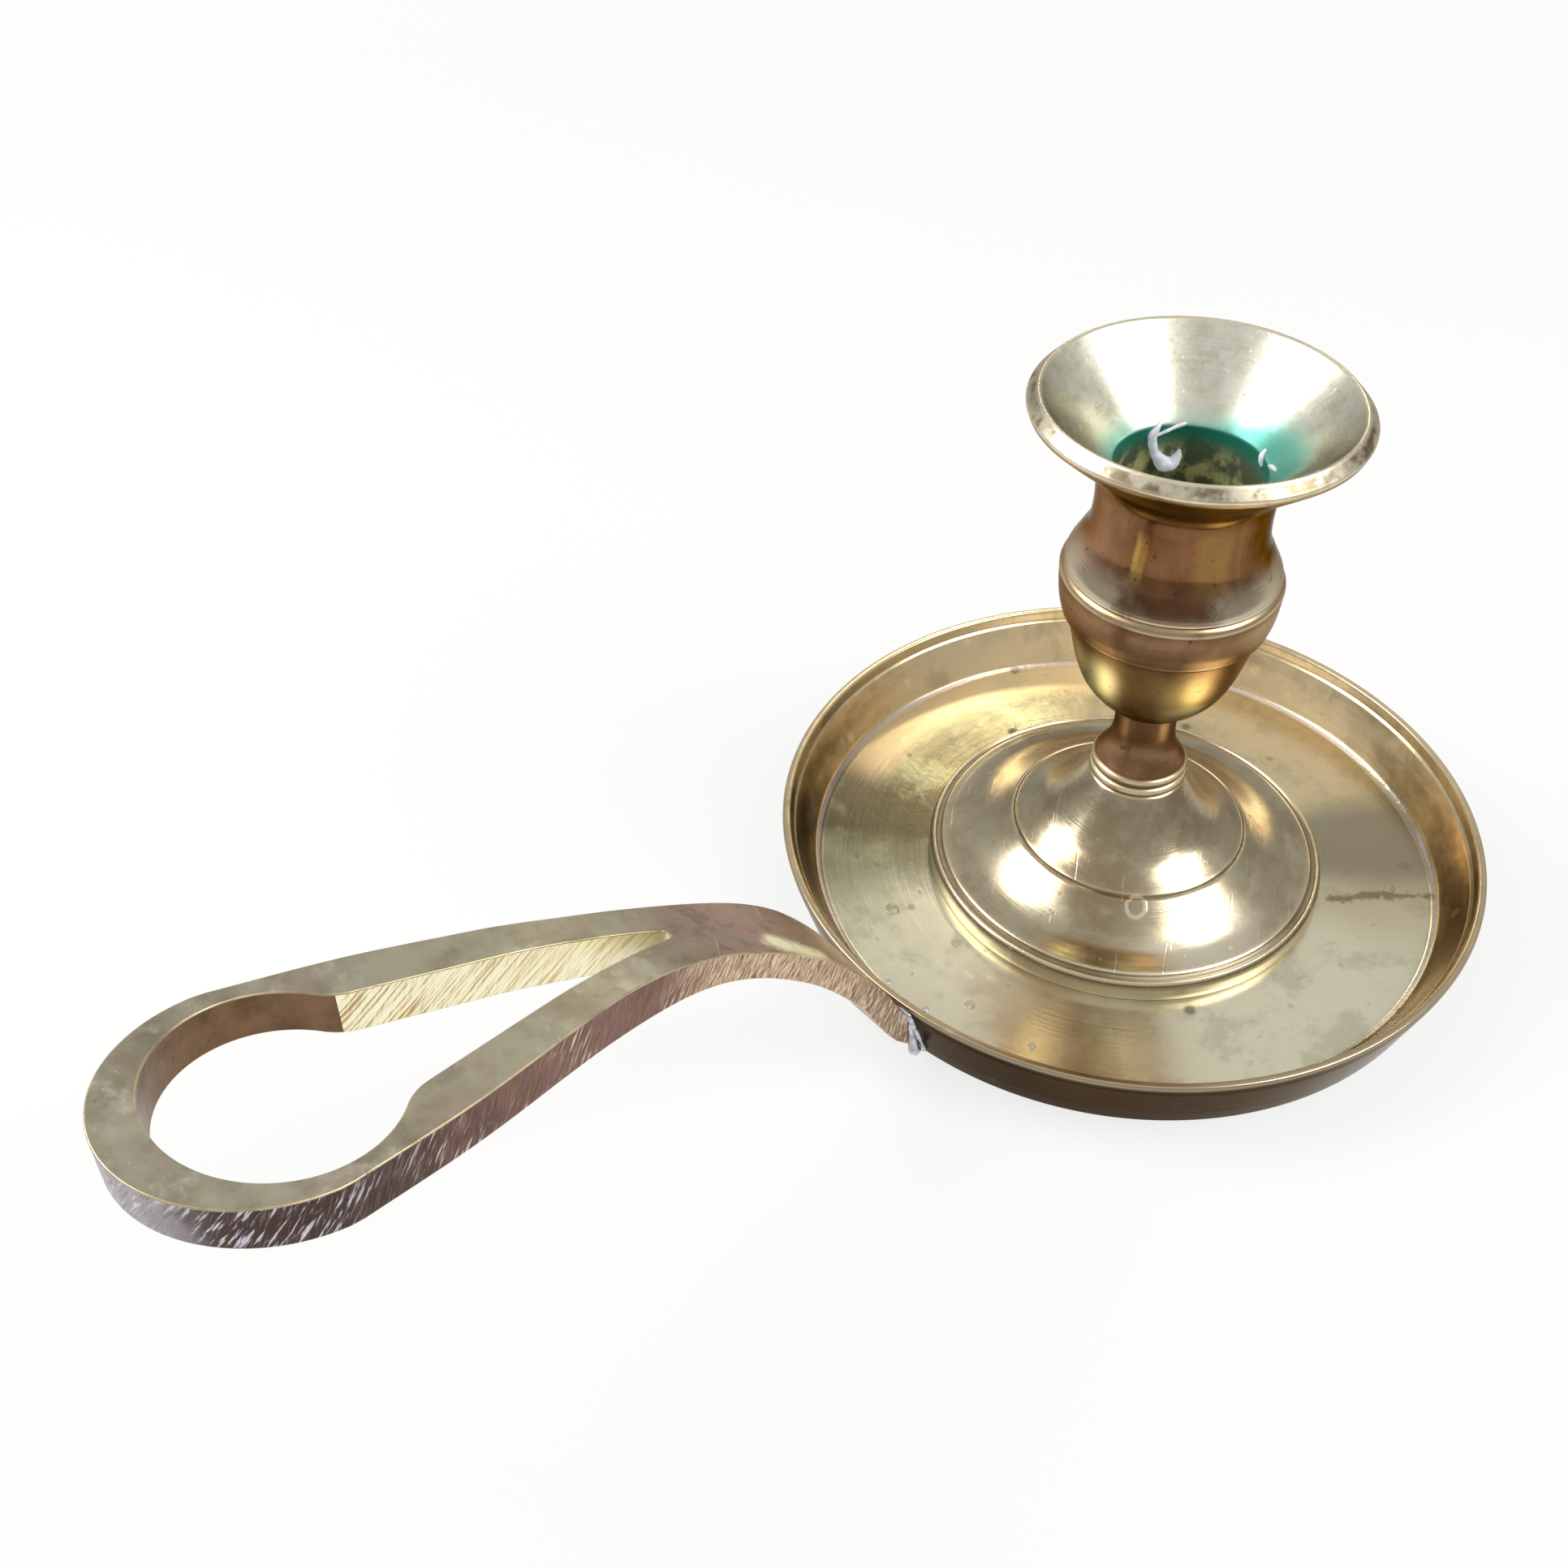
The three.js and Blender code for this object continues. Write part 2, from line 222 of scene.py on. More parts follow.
def newBench(owner):
    owner.use_nodes = True
    owner.node_tree.nodes.clear()
    return Bench(owner.node_tree)


# a paint function returns coats, roughness, metallic and relief
def makeFinish(name, paint, settings):
    material = bpy.data.materials.new(name)
    bench = newBench(material)
    coats, roughness, metallic, relief = paint(bench)
    sockets = {"Strength": 1.0, "Distance": settings["bump"] * mm, "Height": relief}
    bump = bench.add("ShaderNodeBump", sockets)
    sockets = {"Base Color": coats.colour, "Roughness": roughness, "Metallic": metallic, "Normal": bump}
    shader = bench.add("ShaderNodeBsdfPrincipled", {**sockets, **settings.get("fixed", {})})
    bench.add("ShaderNodeOutputMaterial", {"Surface": shader})
    return material


# Camera: the eye and aim are in the part's frame
camera = {
    "eye": (195.46, 139.42, 231.77),
    "aim": (33.66, -52.82, 2.72),
    "roll": 0.235,
    "lens": 42.27,
    "sensor": 36.0,
    "clip": (0.01, 50.0),
}
cameraData = bpy.data.cameras.new("photoCamera")
cameraData.lens = camera["lens"]
cameraData.sensor_width = camera["sensor"]
cameraData.clip_start, cameraData.clip_end = camera["clip"]
cameraObject = bpy.data.objects.new("photoCamera", cameraData)
scene.collection.objects.link(cameraObject)
eye = Vector(camera["eye"]) * mm
course = Vector(camera["aim"]) * mm - eye
facing = course.to_track_quat("-Z", "Y").to_matrix().to_4x4()
rolled = Matrix.Rotation(math.radians(camera["roll"]), 4, "Z")
cameraObject.matrix_world = Matrix.Translation(eye) @ facing @ rolled
scene.camera = cameraObject
print("camera placed")


# Profiles of turned work
rules = {
    "fillet": 0.15, "filletSteps": 4, "support": 0.3, "mostReach": 0.45, "roomFor": 2.5, "leastGap": 1e-5,
    "spanSteps": 10, "wearReach": 0.45, "wearTurn": 55,
}


# points on a smooth run through the stations
def smoothRun(stations, steps):
    points = [Vector(p) for p in stations]
    ends = [2 * points[0] - points[1]] + points + [2 * points[-1] - points[-2]]
    run = []
    for a, b, c, d in zip(ends, ends[1:], ends[2:], ends[3:]):
        for i in range(steps):
            t = i / steps
            along = 2 * b + (c - a) * t + (2 * a - 5 * b + 4 * c - d) * t * t
            run.append(0.5 * (along + (3 * b - a - 3 * c + d) * t ** 3))
    return run + [points[-1]]


# points on a bend from start to end that leans toward the corner
def bendRun(start, corner, end, steps):
    shares = [k / steps for k in range(steps + 1)]
    return [start * (1 - t) ** 2 + corner * 2 * t * (1 - t) + end * t * t for t in shares]


# a list of corners (radius, height, fillet) and of lists that are smooth runs, made into close points
def profilePoints(stations, closest):
    rough = []
    for item in stations:
        if isinstance(item, list):
            rough += [(p, 0.0) for p in smoothRun(item, rules["spanSteps"])]
        else:
            fillet = item[2] if len(item) > 2 else rules["fillet"]
            rough.append((Vector(item[:2]), fillet))
    onAxis = rough[0][0].x == 0 and rough[-1][0].x == 0
    fine = []
    for i, (corner, fillet) in enumerate(rough):
        if fillet == 0 or (onAxis and i in (0, len(rough) - 1)):
            fine.append(corner)
            continue
        inward = rough[i - 1][0] - corner
        onward = rough[(i + 1) % len(rough)][0] - corner
        reach = min(fillet, rules["mostReach"] * inward.length, rules["mostReach"] * onward.length)
        start = corner + inward.normalized() * reach
        end = corner + onward.normalized() * reach
        least = rules["roomFor"] * (reach + rules["support"])
        if inward.length > least:
            fine.append(start + inward.normalized() * rules["support"])
        fine += bendRun(start, corner, end, rules["filletSteps"])
        if onward.length > least:
            fine.append(end + onward.normalized() * rules["support"])
    if not onAxis:
        fine.append(fine[0].copy())
    close = [fine[0]]
    for point in fine[1:]:
        start = close[-1]
        gap = (point - start).length
        if gap >= rules["leastGap"]:
            pieces = max(1, math.ceil(gap / closest))
            close += [start.lerp(point, k / pieces) for k in range(1, pieces + 1)]
    return close


# how far each point stands out as a worn edge, or lies in a hollow, from the turn of the line about it
def edgeMarks(points):
    lengths = [0.0]
    for a, b in zip(points, points[1:]):
        lengths.append(lengths[-1] + (b - a).length)
    area = sum(a.x * b.y - b.x * a.y for a, b in zip(points, points[1:]))
    side = 1 if area > 0 else -1
    marks = []
    for i, point in enumerate(points):
        low, high = i, i
        while low > 0 and lengths[i] - lengths[low] < rules["wearReach"]:
            low -= 1
        while high < len(points) - 1 and lengths[high] - lengths[i] < rules["wearReach"]:
            high += 1
        inward, onward = point - points[low], points[high] - point
        turn = 0.0
        if min(inward.length, onward.length) >= rules["leastGap"]:
            turn = math.atan2(inward.x * onward.y - inward.y * onward.x, inward.dot(onward))
        marks.append(side * math.degrees(turn) / rules["wearTurn"])
    return marks


# a Geometry Nodes tree with named inputs, as a bench and its first input
def newTree(name, inputs):
    tree = bpy.data.node_groups.new(name, "GeometryNodeTree")
    for label, kind in inputs.items():
        tree.interface.new_socket(label, in_out="INPUT", socket_type="NodeSocket" + kind)
    tree.interface.new_socket("Piece", in_out="OUTPUT", socket_type="NodeSocketGeometry")
    bench = Bench(tree)
    return bench, bench.add("NodeGroupInput")


# one smooth mesh with a finish ends every tree
def endTree(bench, piece, finish):
    piece = bench.shape("RealizeInstances", piece)
    piece = bench.shape("MergeByDistance", piece, Distance=making["merge"])
    piece = bench.shape("SetShadeSmooth", piece)
    piece = bench.shape("SetMaterial", piece, Material=finish)
    bench.add("NodeGroupOutput", {"Piece": piece})
    return bench.tree


# a line in the XZ plane turned about Z into a closed piece
def turningTree():
    bench, line = newTree("turnedWork", {"Line": "Geometry", "Segments": "Int", "Finish": "Material"})
    segments = line.out("Segments")
    count = bench.add("GeometryNodeAttributeDomainSize", {0: line}, "Point Count")
    grid = bench.add("GeometryNodeMeshGrid", {"Vertices X": segments + 1, "Vertices Y": count})
    index = bench.add("GeometryNodeInputIndex")
    column = index.calc("FLOOR", (index + 0.5) / count)
    row = index - column * count

    def sample(value, kind):
        sockets = {"Geometry": line, "Value": value, "Index": row}
        return bench.add("GeometryNodeSampleIndex", sockets, data_type=kind)

    station = sample(bench.add("GeometryNodeInputPosition"), "FLOAT_VECTOR")
    spun = station.turned(column / segments * math.tau)
    piece = bench.shape("SetPosition", grid, Position=spun)
    for name in ("edgeWear", "hollow"):
        value = sample(bench.named(name), "FLOAT")
        piece = bench.shape("StoreNamedAttribute", piece, Name=name, Value=value)
    return endTree(bench, piece, line.out("Finish"))


# runs a tree on an object and keeps the result as its plain mesh, faces outwards
def runTree(piece, tree, values):
    modifier = piece.modifiers.new("tree", "NODES")
    modifier.node_group = tree
    for item in tree.interface.items_tree:
        if item.in_out == "INPUT" and item.name in values:
            modifier[item.identifier] = values[item.name]
    keepResult(piece)
    work = bmesh.new()
    work.from_mesh(piece.data)
    bmesh.ops.recalc_face_normals(work, faces=work.faces)
    work.to_mesh(piece.data)
    work.free()


def keepResult(piece):
    graph = bpy.context.evaluated_depsgraph_get()
    shown = piece.evaluated_get(graph)
    made = bpy.data.meshes.new_from_object(shown, preserve_all_data_layers=True, depsgraph=graph)
    piece.modifiers.clear()
    piece.data = made
    made.name = piece.name


def newPiece(name, vertices, edges=(), faces=()):
    mesh = bpy.data.meshes.new(name)
    mesh.from_pydata([tuple(v) for v in vertices], edges, faces)
    mesh.update()
    piece = bpy.data.objects.new(name, mesh)
    scene.collection.objects.link(piece)
    return piece


def setMarks(mesh, name, values, domain="POINT"):
    layer = mesh.attributes.new(name, "FLOAT", domain)
    layer.data.foreach_set("value", values)


def settle(piece, node=None):
    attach(piece, "root")
    if node:
        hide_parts(node)


def clamp(value):
    return max(0.0, min(1.0, value))


turnTree = turningTree()


def turnPiece(name, settings, finish, node):
    points = profilePoints(settings["profile"], settings["closest"])
    line = [(p.x * mm, 0, p.y * mm) for p in points]
    piece = newPiece(name, line, [(i, i + 1) for i in range(len(line) - 1)])
    marks = edgeMarks(points)
    setMarks(piece.data, "edgeWear", [clamp(m) for m in marks])
    setMarks(piece.data, "hollow", [clamp(-m) for m in marks])
    runTree(piece, turnTree, {"Segments": settings["segments"], "Finish": finish})
    settle(piece, node)
    print(name, "turned:", len(piece.data.polygons), "faces")


# Drip dish
dish = {
    "segments": 224,
    "closest": 1.3,
    "profile": [
        (3.8, 4.1), (10, 4.1), (10, 1), (50.5, 1, 0.3), (51.5, 0, 0.4), (55.6, 0, 0.4), (56.17, 0.5, 0.3),
        (59.54, 10.7, 0.5), (59.9, 12.1, 0.3), (60, 12.6, 0.25), (59.75, 13.1, 0.25), (58.7, 13.1, 0.3),
        (58.1, 11.35, 0.12), (57.68, 11.05, 0.15), (54.3, 4.3, 0.5), (53.8, 3.65, 0.4), (53.1, 3.3, 0.4),
        (13, 3.3), (13, 7.1), (3.8, 7.1),
    ],
    "khakiDark": (126, 125, 104), "khakiPale": (206, 200, 172), "floorBrown": (192, 170, 136),
    "backGlowReflection": (236, 209, 162), "frontPaleReflection": (236, 231, 206), "leftShade": (94, 88, 70),
    "rightShade": (150, 140, 120), "mossy": (160, 165, 134), "columnReflection": (198, 180, 152), "speck": (92, 84, 62),
    "wallDark": (132, 115, 86), "wallGold": (232, 212, 172), "rimBright": (220, 202, 170),
    "wax": (196, 184, 190), "outerDark": (20, 12, 8), "outerWarm": (46, 28, 19), "shade": (8, 5, 4),
    "fixed": {"Specular Tint": (0.7, 0.62, 0.54, 1.0)},
    "floor": 3.3,
    "frontTurn": 0.62,
    "glowTurn": -2.5,
    "seamGlowTurn": -1.86,
    "columnReflectionLine": ((38, 14), (44, 25)),
    "shadeLine": ((57, 10), (54, 20)),
    "smudge": [((-19.6, 30.7), (-27.0, 35.3)), ((-27.0, 35.3), (-33.0, 41.1))],
    "broad": (42, 4, 0.55, 0.3), "fine": 900, "rings": 1900, "bump": 0.04,
}


def paintDish(bench):
    point, radius, height, angle, broad, fine, rings = turnedPlace(bench, dish)
    x, y = bench.split(point)[:2]
    blotch = point.noise(190, 5, 0.6)
    wear, hollow, around = wornMarks(angle * 0.012, height, radius, 130)
    innerAt = (height - dish["floor"]) * 0.5 + 53.8
    outside = (radius - innerAt).step(0.8, 1.4)
    raised = height.step(3.45, 4.4)
    below = height.fall(1.3, 2.2)
    # painted shade: a measure across the view; the floor's khaki is darker to the left with it, and the side
    # tones and the wall's gold below follow it too
    shadeAcross = (y * 0.83 - x * 0.55) / (50 * mm)
    khaki = broad * 0.6 + blotch * 0.4 + shadeAcross * 0.42
    coats = Coats(dish, khaki.step(0.28, 0.7), "khakiDark", "khakiPale")
    coats.over(point.shift((0, 0, 0.7)).noise(26, 3).step(0.45, 0.75) * 0.5, "floorBrown")
    # painted reflection: a warm gold glow on the back of the floor, where the back lamp is mirrored
    coats.over((0 - x / mm).step(18, 44) * 0.75, "backGlowReflection")
    rightSide = shadeAcross.step(-0.4, 0.4)
    # painted reflection: the floor is paler where it faces the view
    facing = (angle - dish["frontTurn"]).cosine() - (1 - rightSide) * 0.3 + broad.sway(0.2)
    coats.over(facing.step(-0.05, 0.35) * 0.82, "frontPaleReflection")
    # painted highlight: a band of the back glow on the floor next to the wall, where the floor is also made
    # less metallic
    seamGlow = radius.step(44, 49) * (angle - dish["seamGlowTurn"]).cosine().step(0.5, 0.9) * (1 - raised)
    coats.over(seamGlow * 0.7, "backGlowReflection")
    # painted shade: the floor darker at its left and right
    sideShade = Coats(dish, rightSide, "leftShade", "rightShade")
    coats.over(angle.band(-1.35, 0.6) * radius.fall(41, 46) * 0.6, sideShade)
    coats.over(facing.band(-0.31, 0.3) * 0.85, sideShade)
    coats.over(point.shift((0.4, 0, 0)).noise(95, 5, 0.65).step(0.48, 0.64) * 0.36, "mossy")
    # painted reflection: a pinkish-brown patch on the floor in front, where the column is mirrored
    columnReflectionAt = planDistance(point, *dish["columnReflectionLine"]) + blotch.sway(14)
    coats.over(columnReflectionAt.fall(4, 13) * 0.85, "columnReflection")
    specks = point.noise(520, 2, 0.4).step(0.69, 0.8)
    dark = (softSpots(point, 150, 0.2, 0.42) * 0.75).larger(specks * 0.3)
    for start, end in dish["smudge"]:
        near = planDistance(point, start, end) + (blotch + fine * 0.5 - 0.75) * 4.2
        dark = dark.larger(near.fall(0.2, 1.3) * 0.7)
    coats.over(dark, "speck")
    # partly painted light: the wall's gold is brighter at the back-left, toward the back glow, and to the
    # left, mixed with wear and blotches; the wall facing the glow is also less metallic
    glowSide = (angle - dish["glowTurn"]).cosine()
    goldReflection = around * 0.7 + blotch * 0.3 + glowSide * 0.2 - shadeAcross * 0.05
    wall = Coats(dish, goldReflection.step(0.34, 0.7), "wallDark", "wallGold")
    stain = point.shift((0.2, 0, 0), (1, 1, 0.35)).noise(120, 5, 0.7)
    wall.over(stain.step(0.52, 0.7) * 0.3, "wallDark")
    # the outer wall's near-black brown is partly dark patina and partly painted shade of the dark
    # surroundings it mirrors
    outer = Coats(dish, around.step(0.35, 0.7), "outerDark", "outerWarm")
    outer.over(planDistance(point, *dish["shadeLine"]).fall(4, 14), "shade")
    coats.over(raised, wall)
    coats.over(outside.larger(below), outer)
    coats.over(hollow * (0.2 + 0.5 * blotch), "wallDark")
    rim = height.step(12.6, 12.95) * radius.step(58.9, 59.3)
    coats.over((rim * 0.6).larger(wear * (0.4 + around * 0.6) * raised * 0.8), "rimBright")
    ring = (radius + around.sway(0.5)).band(53.7, 0.42) * height.fall(3.9, 4.5) * height.step(3.0, 3.2)
    waxLine = ring * (around + fine * 0.3).step(0.5, 0.72)
    coats.over(waxLine * 0.6, "wax")
    roughness = 0.2 + blotch.sway(0.12) + broad.sway(0.1) + fine.sway(0.06) + dark * 0.15
    backWall = glowSide.step(0.0, 0.7) * raised * (1 - outside)
    metallic = (1 - waxLine * 0.9) * (1 - dark * 0.3) * (0.9 + raised * 0.08 - backWall * 0.22 - seamGlow * 0.5)
    relief = (rings * 0.5 + fine * 0.3 + blotch * 0.3) * (1 - raised * 0.6) - dark * 0.25 + waxLine * 0.8
    return coats, roughness, metallic, relief


dishFinish = makeFinish("tarnishedDish", paintDish, dish)
turnPiece("dishTurned", dish, dishFinish, "drip_dish")

# Bell foot
foot = {
    "segments": 192,
    "closest": 0.7,
    "profile": [
        (34.0, 3.3), (34.1, 4.3, 0.3), (34.0, 5.6, 0.5), (33.75, 6.4, 0.45), (33.3, 6.85, 0.3),
        (33.0, 6.8, 0.15), (32.7, 6.5, 0.2), (32.1, 6.55, 0.1), (31.9, 7.1, 0.2), (31.4, 7.3, 0.15),
        [(31.1, 7.33), (29.5, 7.55), (27.3, 8.15), (24.5, 9.55), (20.0, 12.62)], (19.85, 12.6, 0.05),
        (19.65, 12.45, 0.05), (19.45, 12.8, 0.05),
        [(19.35, 12.9), (17.0, 14.25), (14.5, 16.05), (11.6, 19.3), (7.8, 24.3)], (3.8, 24.3), (3.8, 20.9),
        (6.5, 20.9), (13.0, 14.0), (19.5, 9.5), (26.0, 6.2), (30.8, 4.9), (31.1, 3.3),
    ],
    "grey": (182, 173, 148), "brown": (156, 138, 110), "pale": (204, 195, 170), "bright": (230, 216, 182),
    "dirtAndShade": (98, 78, 54), "paintedGlow": (246, 238, 214),
    "drop": ((14.6, 15.1), (14.8, 15.1)),
    "broad": (70, 5, 0.6, 0.3), "fine": 1100, "rings": 2300, "bump": 0.03,
}


def paintFoot(bench):
    point, radius, height, angle, broad, fine, rings = turnedPlace(bench, foot)
    wear, hollow, worn = wornMarks(angle * 0.01, radius, height, 260)
    coats = Coats(foot, broad.step(0.3, 0.66), "brown", "grey")
    coats.over(worn.step(0.5, 0.75) * 0.5, "pale")
    scratch = hairlines(point, 1500, 0.9, 0.66, 0.74)
    coats.over(scratch * 0.25, "bright")
    coats.over(point.noise(240, 5, 0.65).step(0.5, 0.72) * 0.5, "brown")
    spots = softSpots(point, 210, 0.2, 0.14)
    specks = point.noise(720, 2, 0.4).step(0.7, 0.78).larger(spots * 0.7)
    coats.over((specks * 0.5).larger(hollow * 0.6), "dirtAndShade")
    coats.over(wear * worn.step(0.2, 0.5) * 0.85, "bright")
    dropRing = (planDistance(point, *foot["drop"]) + fine.sway(0.4)).band(1.45, 0.45)
    coats.over(dropRing * 0.75, "bright")
    # painted highlight: a pale glow on the front of the lower slope
    coats.over(angle.band(1.15, 0.65) * radius.band(29.5, 5.5) * 0.6, "paintedGlow")
    skirt = height.fall(5.7, 6.4)
    coats.over(skirt * 0.7, "pale")
    roughness = 0.2 + broad.sway(0.16) + fine.sway(0.1) + hollow * 0.15 + specks * 0.2 + skirt * 0.12
    metallic = 0.98 - specks * 0.3 - hollow * 0.2 - skirt * 0.2
    relief = rings * 0.6 + fine * 0.25 - scratch * 0.4 - specks * 0.4 + dropRing * 0.8
    return coats, roughness, metallic, relief


footFinish = makeFinish("wornFoot", paintFoot, foot)
turnPiece("footTurned", foot, footFinish, "bell_foot")

# Stem and urn share one brown finish
stem = {
    "segments": 128,
    "closest": 0.6,
    "profile": [
        (0, 0), (3.5, 0, 0.3), (3.5, 24.3), (7.9, 24.3, 0.2), (8.2, 24.8, 0.3), (8.0, 25.5, 0.3),
        (7.4, 25.9, 0.15), (7.9, 26.4, 0.3), (8.0, 26.9, 0.3), (7.8, 27.4, 0.25),
        [(7.4, 27.6), (6.43, 29.2), (5.58, 31.1), (5.1, 33.6), (5.1, 36.5)], (5.1, 40), (3.4, 40),
        (3.4, 47), (0, 47),
    ],
}
urn = {
    "segments": 160,
    "closest": 0.6,
    "profile": [
        (3.7, 40), (7.6, 40, 0.2), (7.9, 40.5, 0.2),
        [(8.48, 40.97), (10.0, 42.5), (11.8, 45.05), (13.1, 48.3), (14.1, 52.0), (15.1, 56.2)],
        (15.35, 57.0, 0.12), (16.0, 57.3, 0.15),
        [(16.3, 57.7), (16.85, 59.8), (17.15, 62.2), (17.25, 64.4)], (17.35, 64.9, 0.3),
        (17.0, 65.55, 0.4), (16.5, 65.9, 0.15), (13.3, 65.9), (13.3, 55.5), (3.7, 55.5),
    ],
}
column = {
    "brown": (124, 94, 66), "copper": (156, 122, 90), "goldReflection": (240, 216, 146), "paintedGlow": (255, 246, 196),
    "bright": (236, 218, 182), "dirtAndShade": (62, 44, 30),
    "fixed": {"Specular Tint": (0.42, 0.38, 0.33, 1.0)},
    "broad": (90, 5, 0.6, 0.4), "fine": 1300, "rings": 2600, "bump": 0.025,
}


def paintColumn(bench):
    point, radius, height, angle, broad, fine, rings = turnedPlace(bench, column)
    wear, hollow, worn = wornMarks(angle * 0.008, radius, height, 300)
    coats = Coats(column, broad.step(0.34, 0.66), "brown", "copper")
    # painted reflection: gold patches on the urn's bowl at two turns, broken up by noise
    reflectedPatches = ((angle - 0.41) * 5.3).cosine()
    bowlReflection = height.band(47.5, 9.5) * (0.3 + 0.7 * (worn.sway(0.8) - reflectedPatches).step(-0.2, 0.8))
    coats.over(bowlReflection * 0.5, "goldReflection")
    # painted highlights: two bright glows on the bowl
    leftGlow = angle.band(-0.15, 0.5) * height.band(48, 8)
    rightGlow = angle.band(1.1, 0.4) * height.band(44.5, 3.5)
    coats.over(leftGlow.larger(rightGlow) * 0.95, "paintedGlow")
    # painted highlight: the upper band brighter on its right side
    coats.over(height.band(61.5, 4.5) * angle.step(1.2, 1.9) * 0.55, "bright")
    coats.over(height.step(23.8, 24.2) * height.fall(27.2, 27.7) * 0.8, "bright")
    specks = point.noise(800, 2, 0.4).step(0.69, 0.77)
    coats.over((specks * 0.7).larger(hollow * 0.8), "dirtAndShade")
    coats.over(wear * worn.step(0.15, 0.45) * 0.9, "bright")
    roughness = 0.3 + broad.sway(0.14) + fine.sway(0.1) + hollow * 0.15
    metallic = 1 - specks * 0.4 - hollow * 0.15
    relief = rings * 0.6 + fine * 0.25 - specks * 0.5
    return coats, roughness, metallic, relief


columnFinish = makeFinish("brownColumn", paintColumn, column)
turnPiece("stemTurned", stem, columnFinish, "stem")
turnPiece("urnTurned", urn, columnFinish, "urn")

# Flared nozzle
nozzle = {
    "segments": 192,
    "closest": 0.7,
    "profile": [
        (0, 55.5), (13, 55.5), (13, 65.9), (16.4, 65.9, 0.1), (16.7, 66.2, 0.15),
        [(16.68, 66.4), (16.4, 67.4), (15.1, 69.9), (13.8, 72.7), (13.4, 76.0), (13.46, 79.5), (13.7, 82.0),
         (14.77, 84.0), (17.16, 86.2), (21.0, 89.35), (24.8, 92.7)],
        (25.2, 93.7, 0.35), (23.5, 95.5, 0.2), (23.0, 95.35, 0.2), (11.7, 84.1, 0.3), (11.4, 83.7, 0.3),
        (11.4, 57.9), (0, 57.9),
    ],
    "boreRadius": 11.4,
    "coneFoot": 83.9,
    "coneSlope": 1.027,
    "brown": (104, 70, 44), "copper": (136, 96, 64), "goldReflection": (216, 176, 98), "silverReflection": (192, 181, 157),
    "plumShade": (84, 58, 52), "roseLitSide": (184, 142, 112), "lipSilver": (214, 206, 184), "lipDark": (132, 118, 96),
    "conePale": (230, 229, 214), "coneGrey": (202, 202, 182), "bright": (238, 226, 198),
    "green": (36, 150, 138), "greenPale": (96, 180, 170), "boreTeal": (44, 140, 122),
    "soot": (112, 120, 98), "boreGold": (232, 226, 164), "dirtAndShade": (60, 42, 28),
    "fixed": {"Specular Tint": (0.42, 0.38, 0.33, 1.0)},
    "frontTurn": 0.62,
    "residueTurn": 2.27,
    "neckGlintStreaks": [(0.25, 0.1, 5.5, 0.6), (1.05, 0.3, 9, 0.2)],
    "broad": (90, 5, 0.6, 0.4), "fine": 1400, "rings": 2400, "bump": 0.03,
}


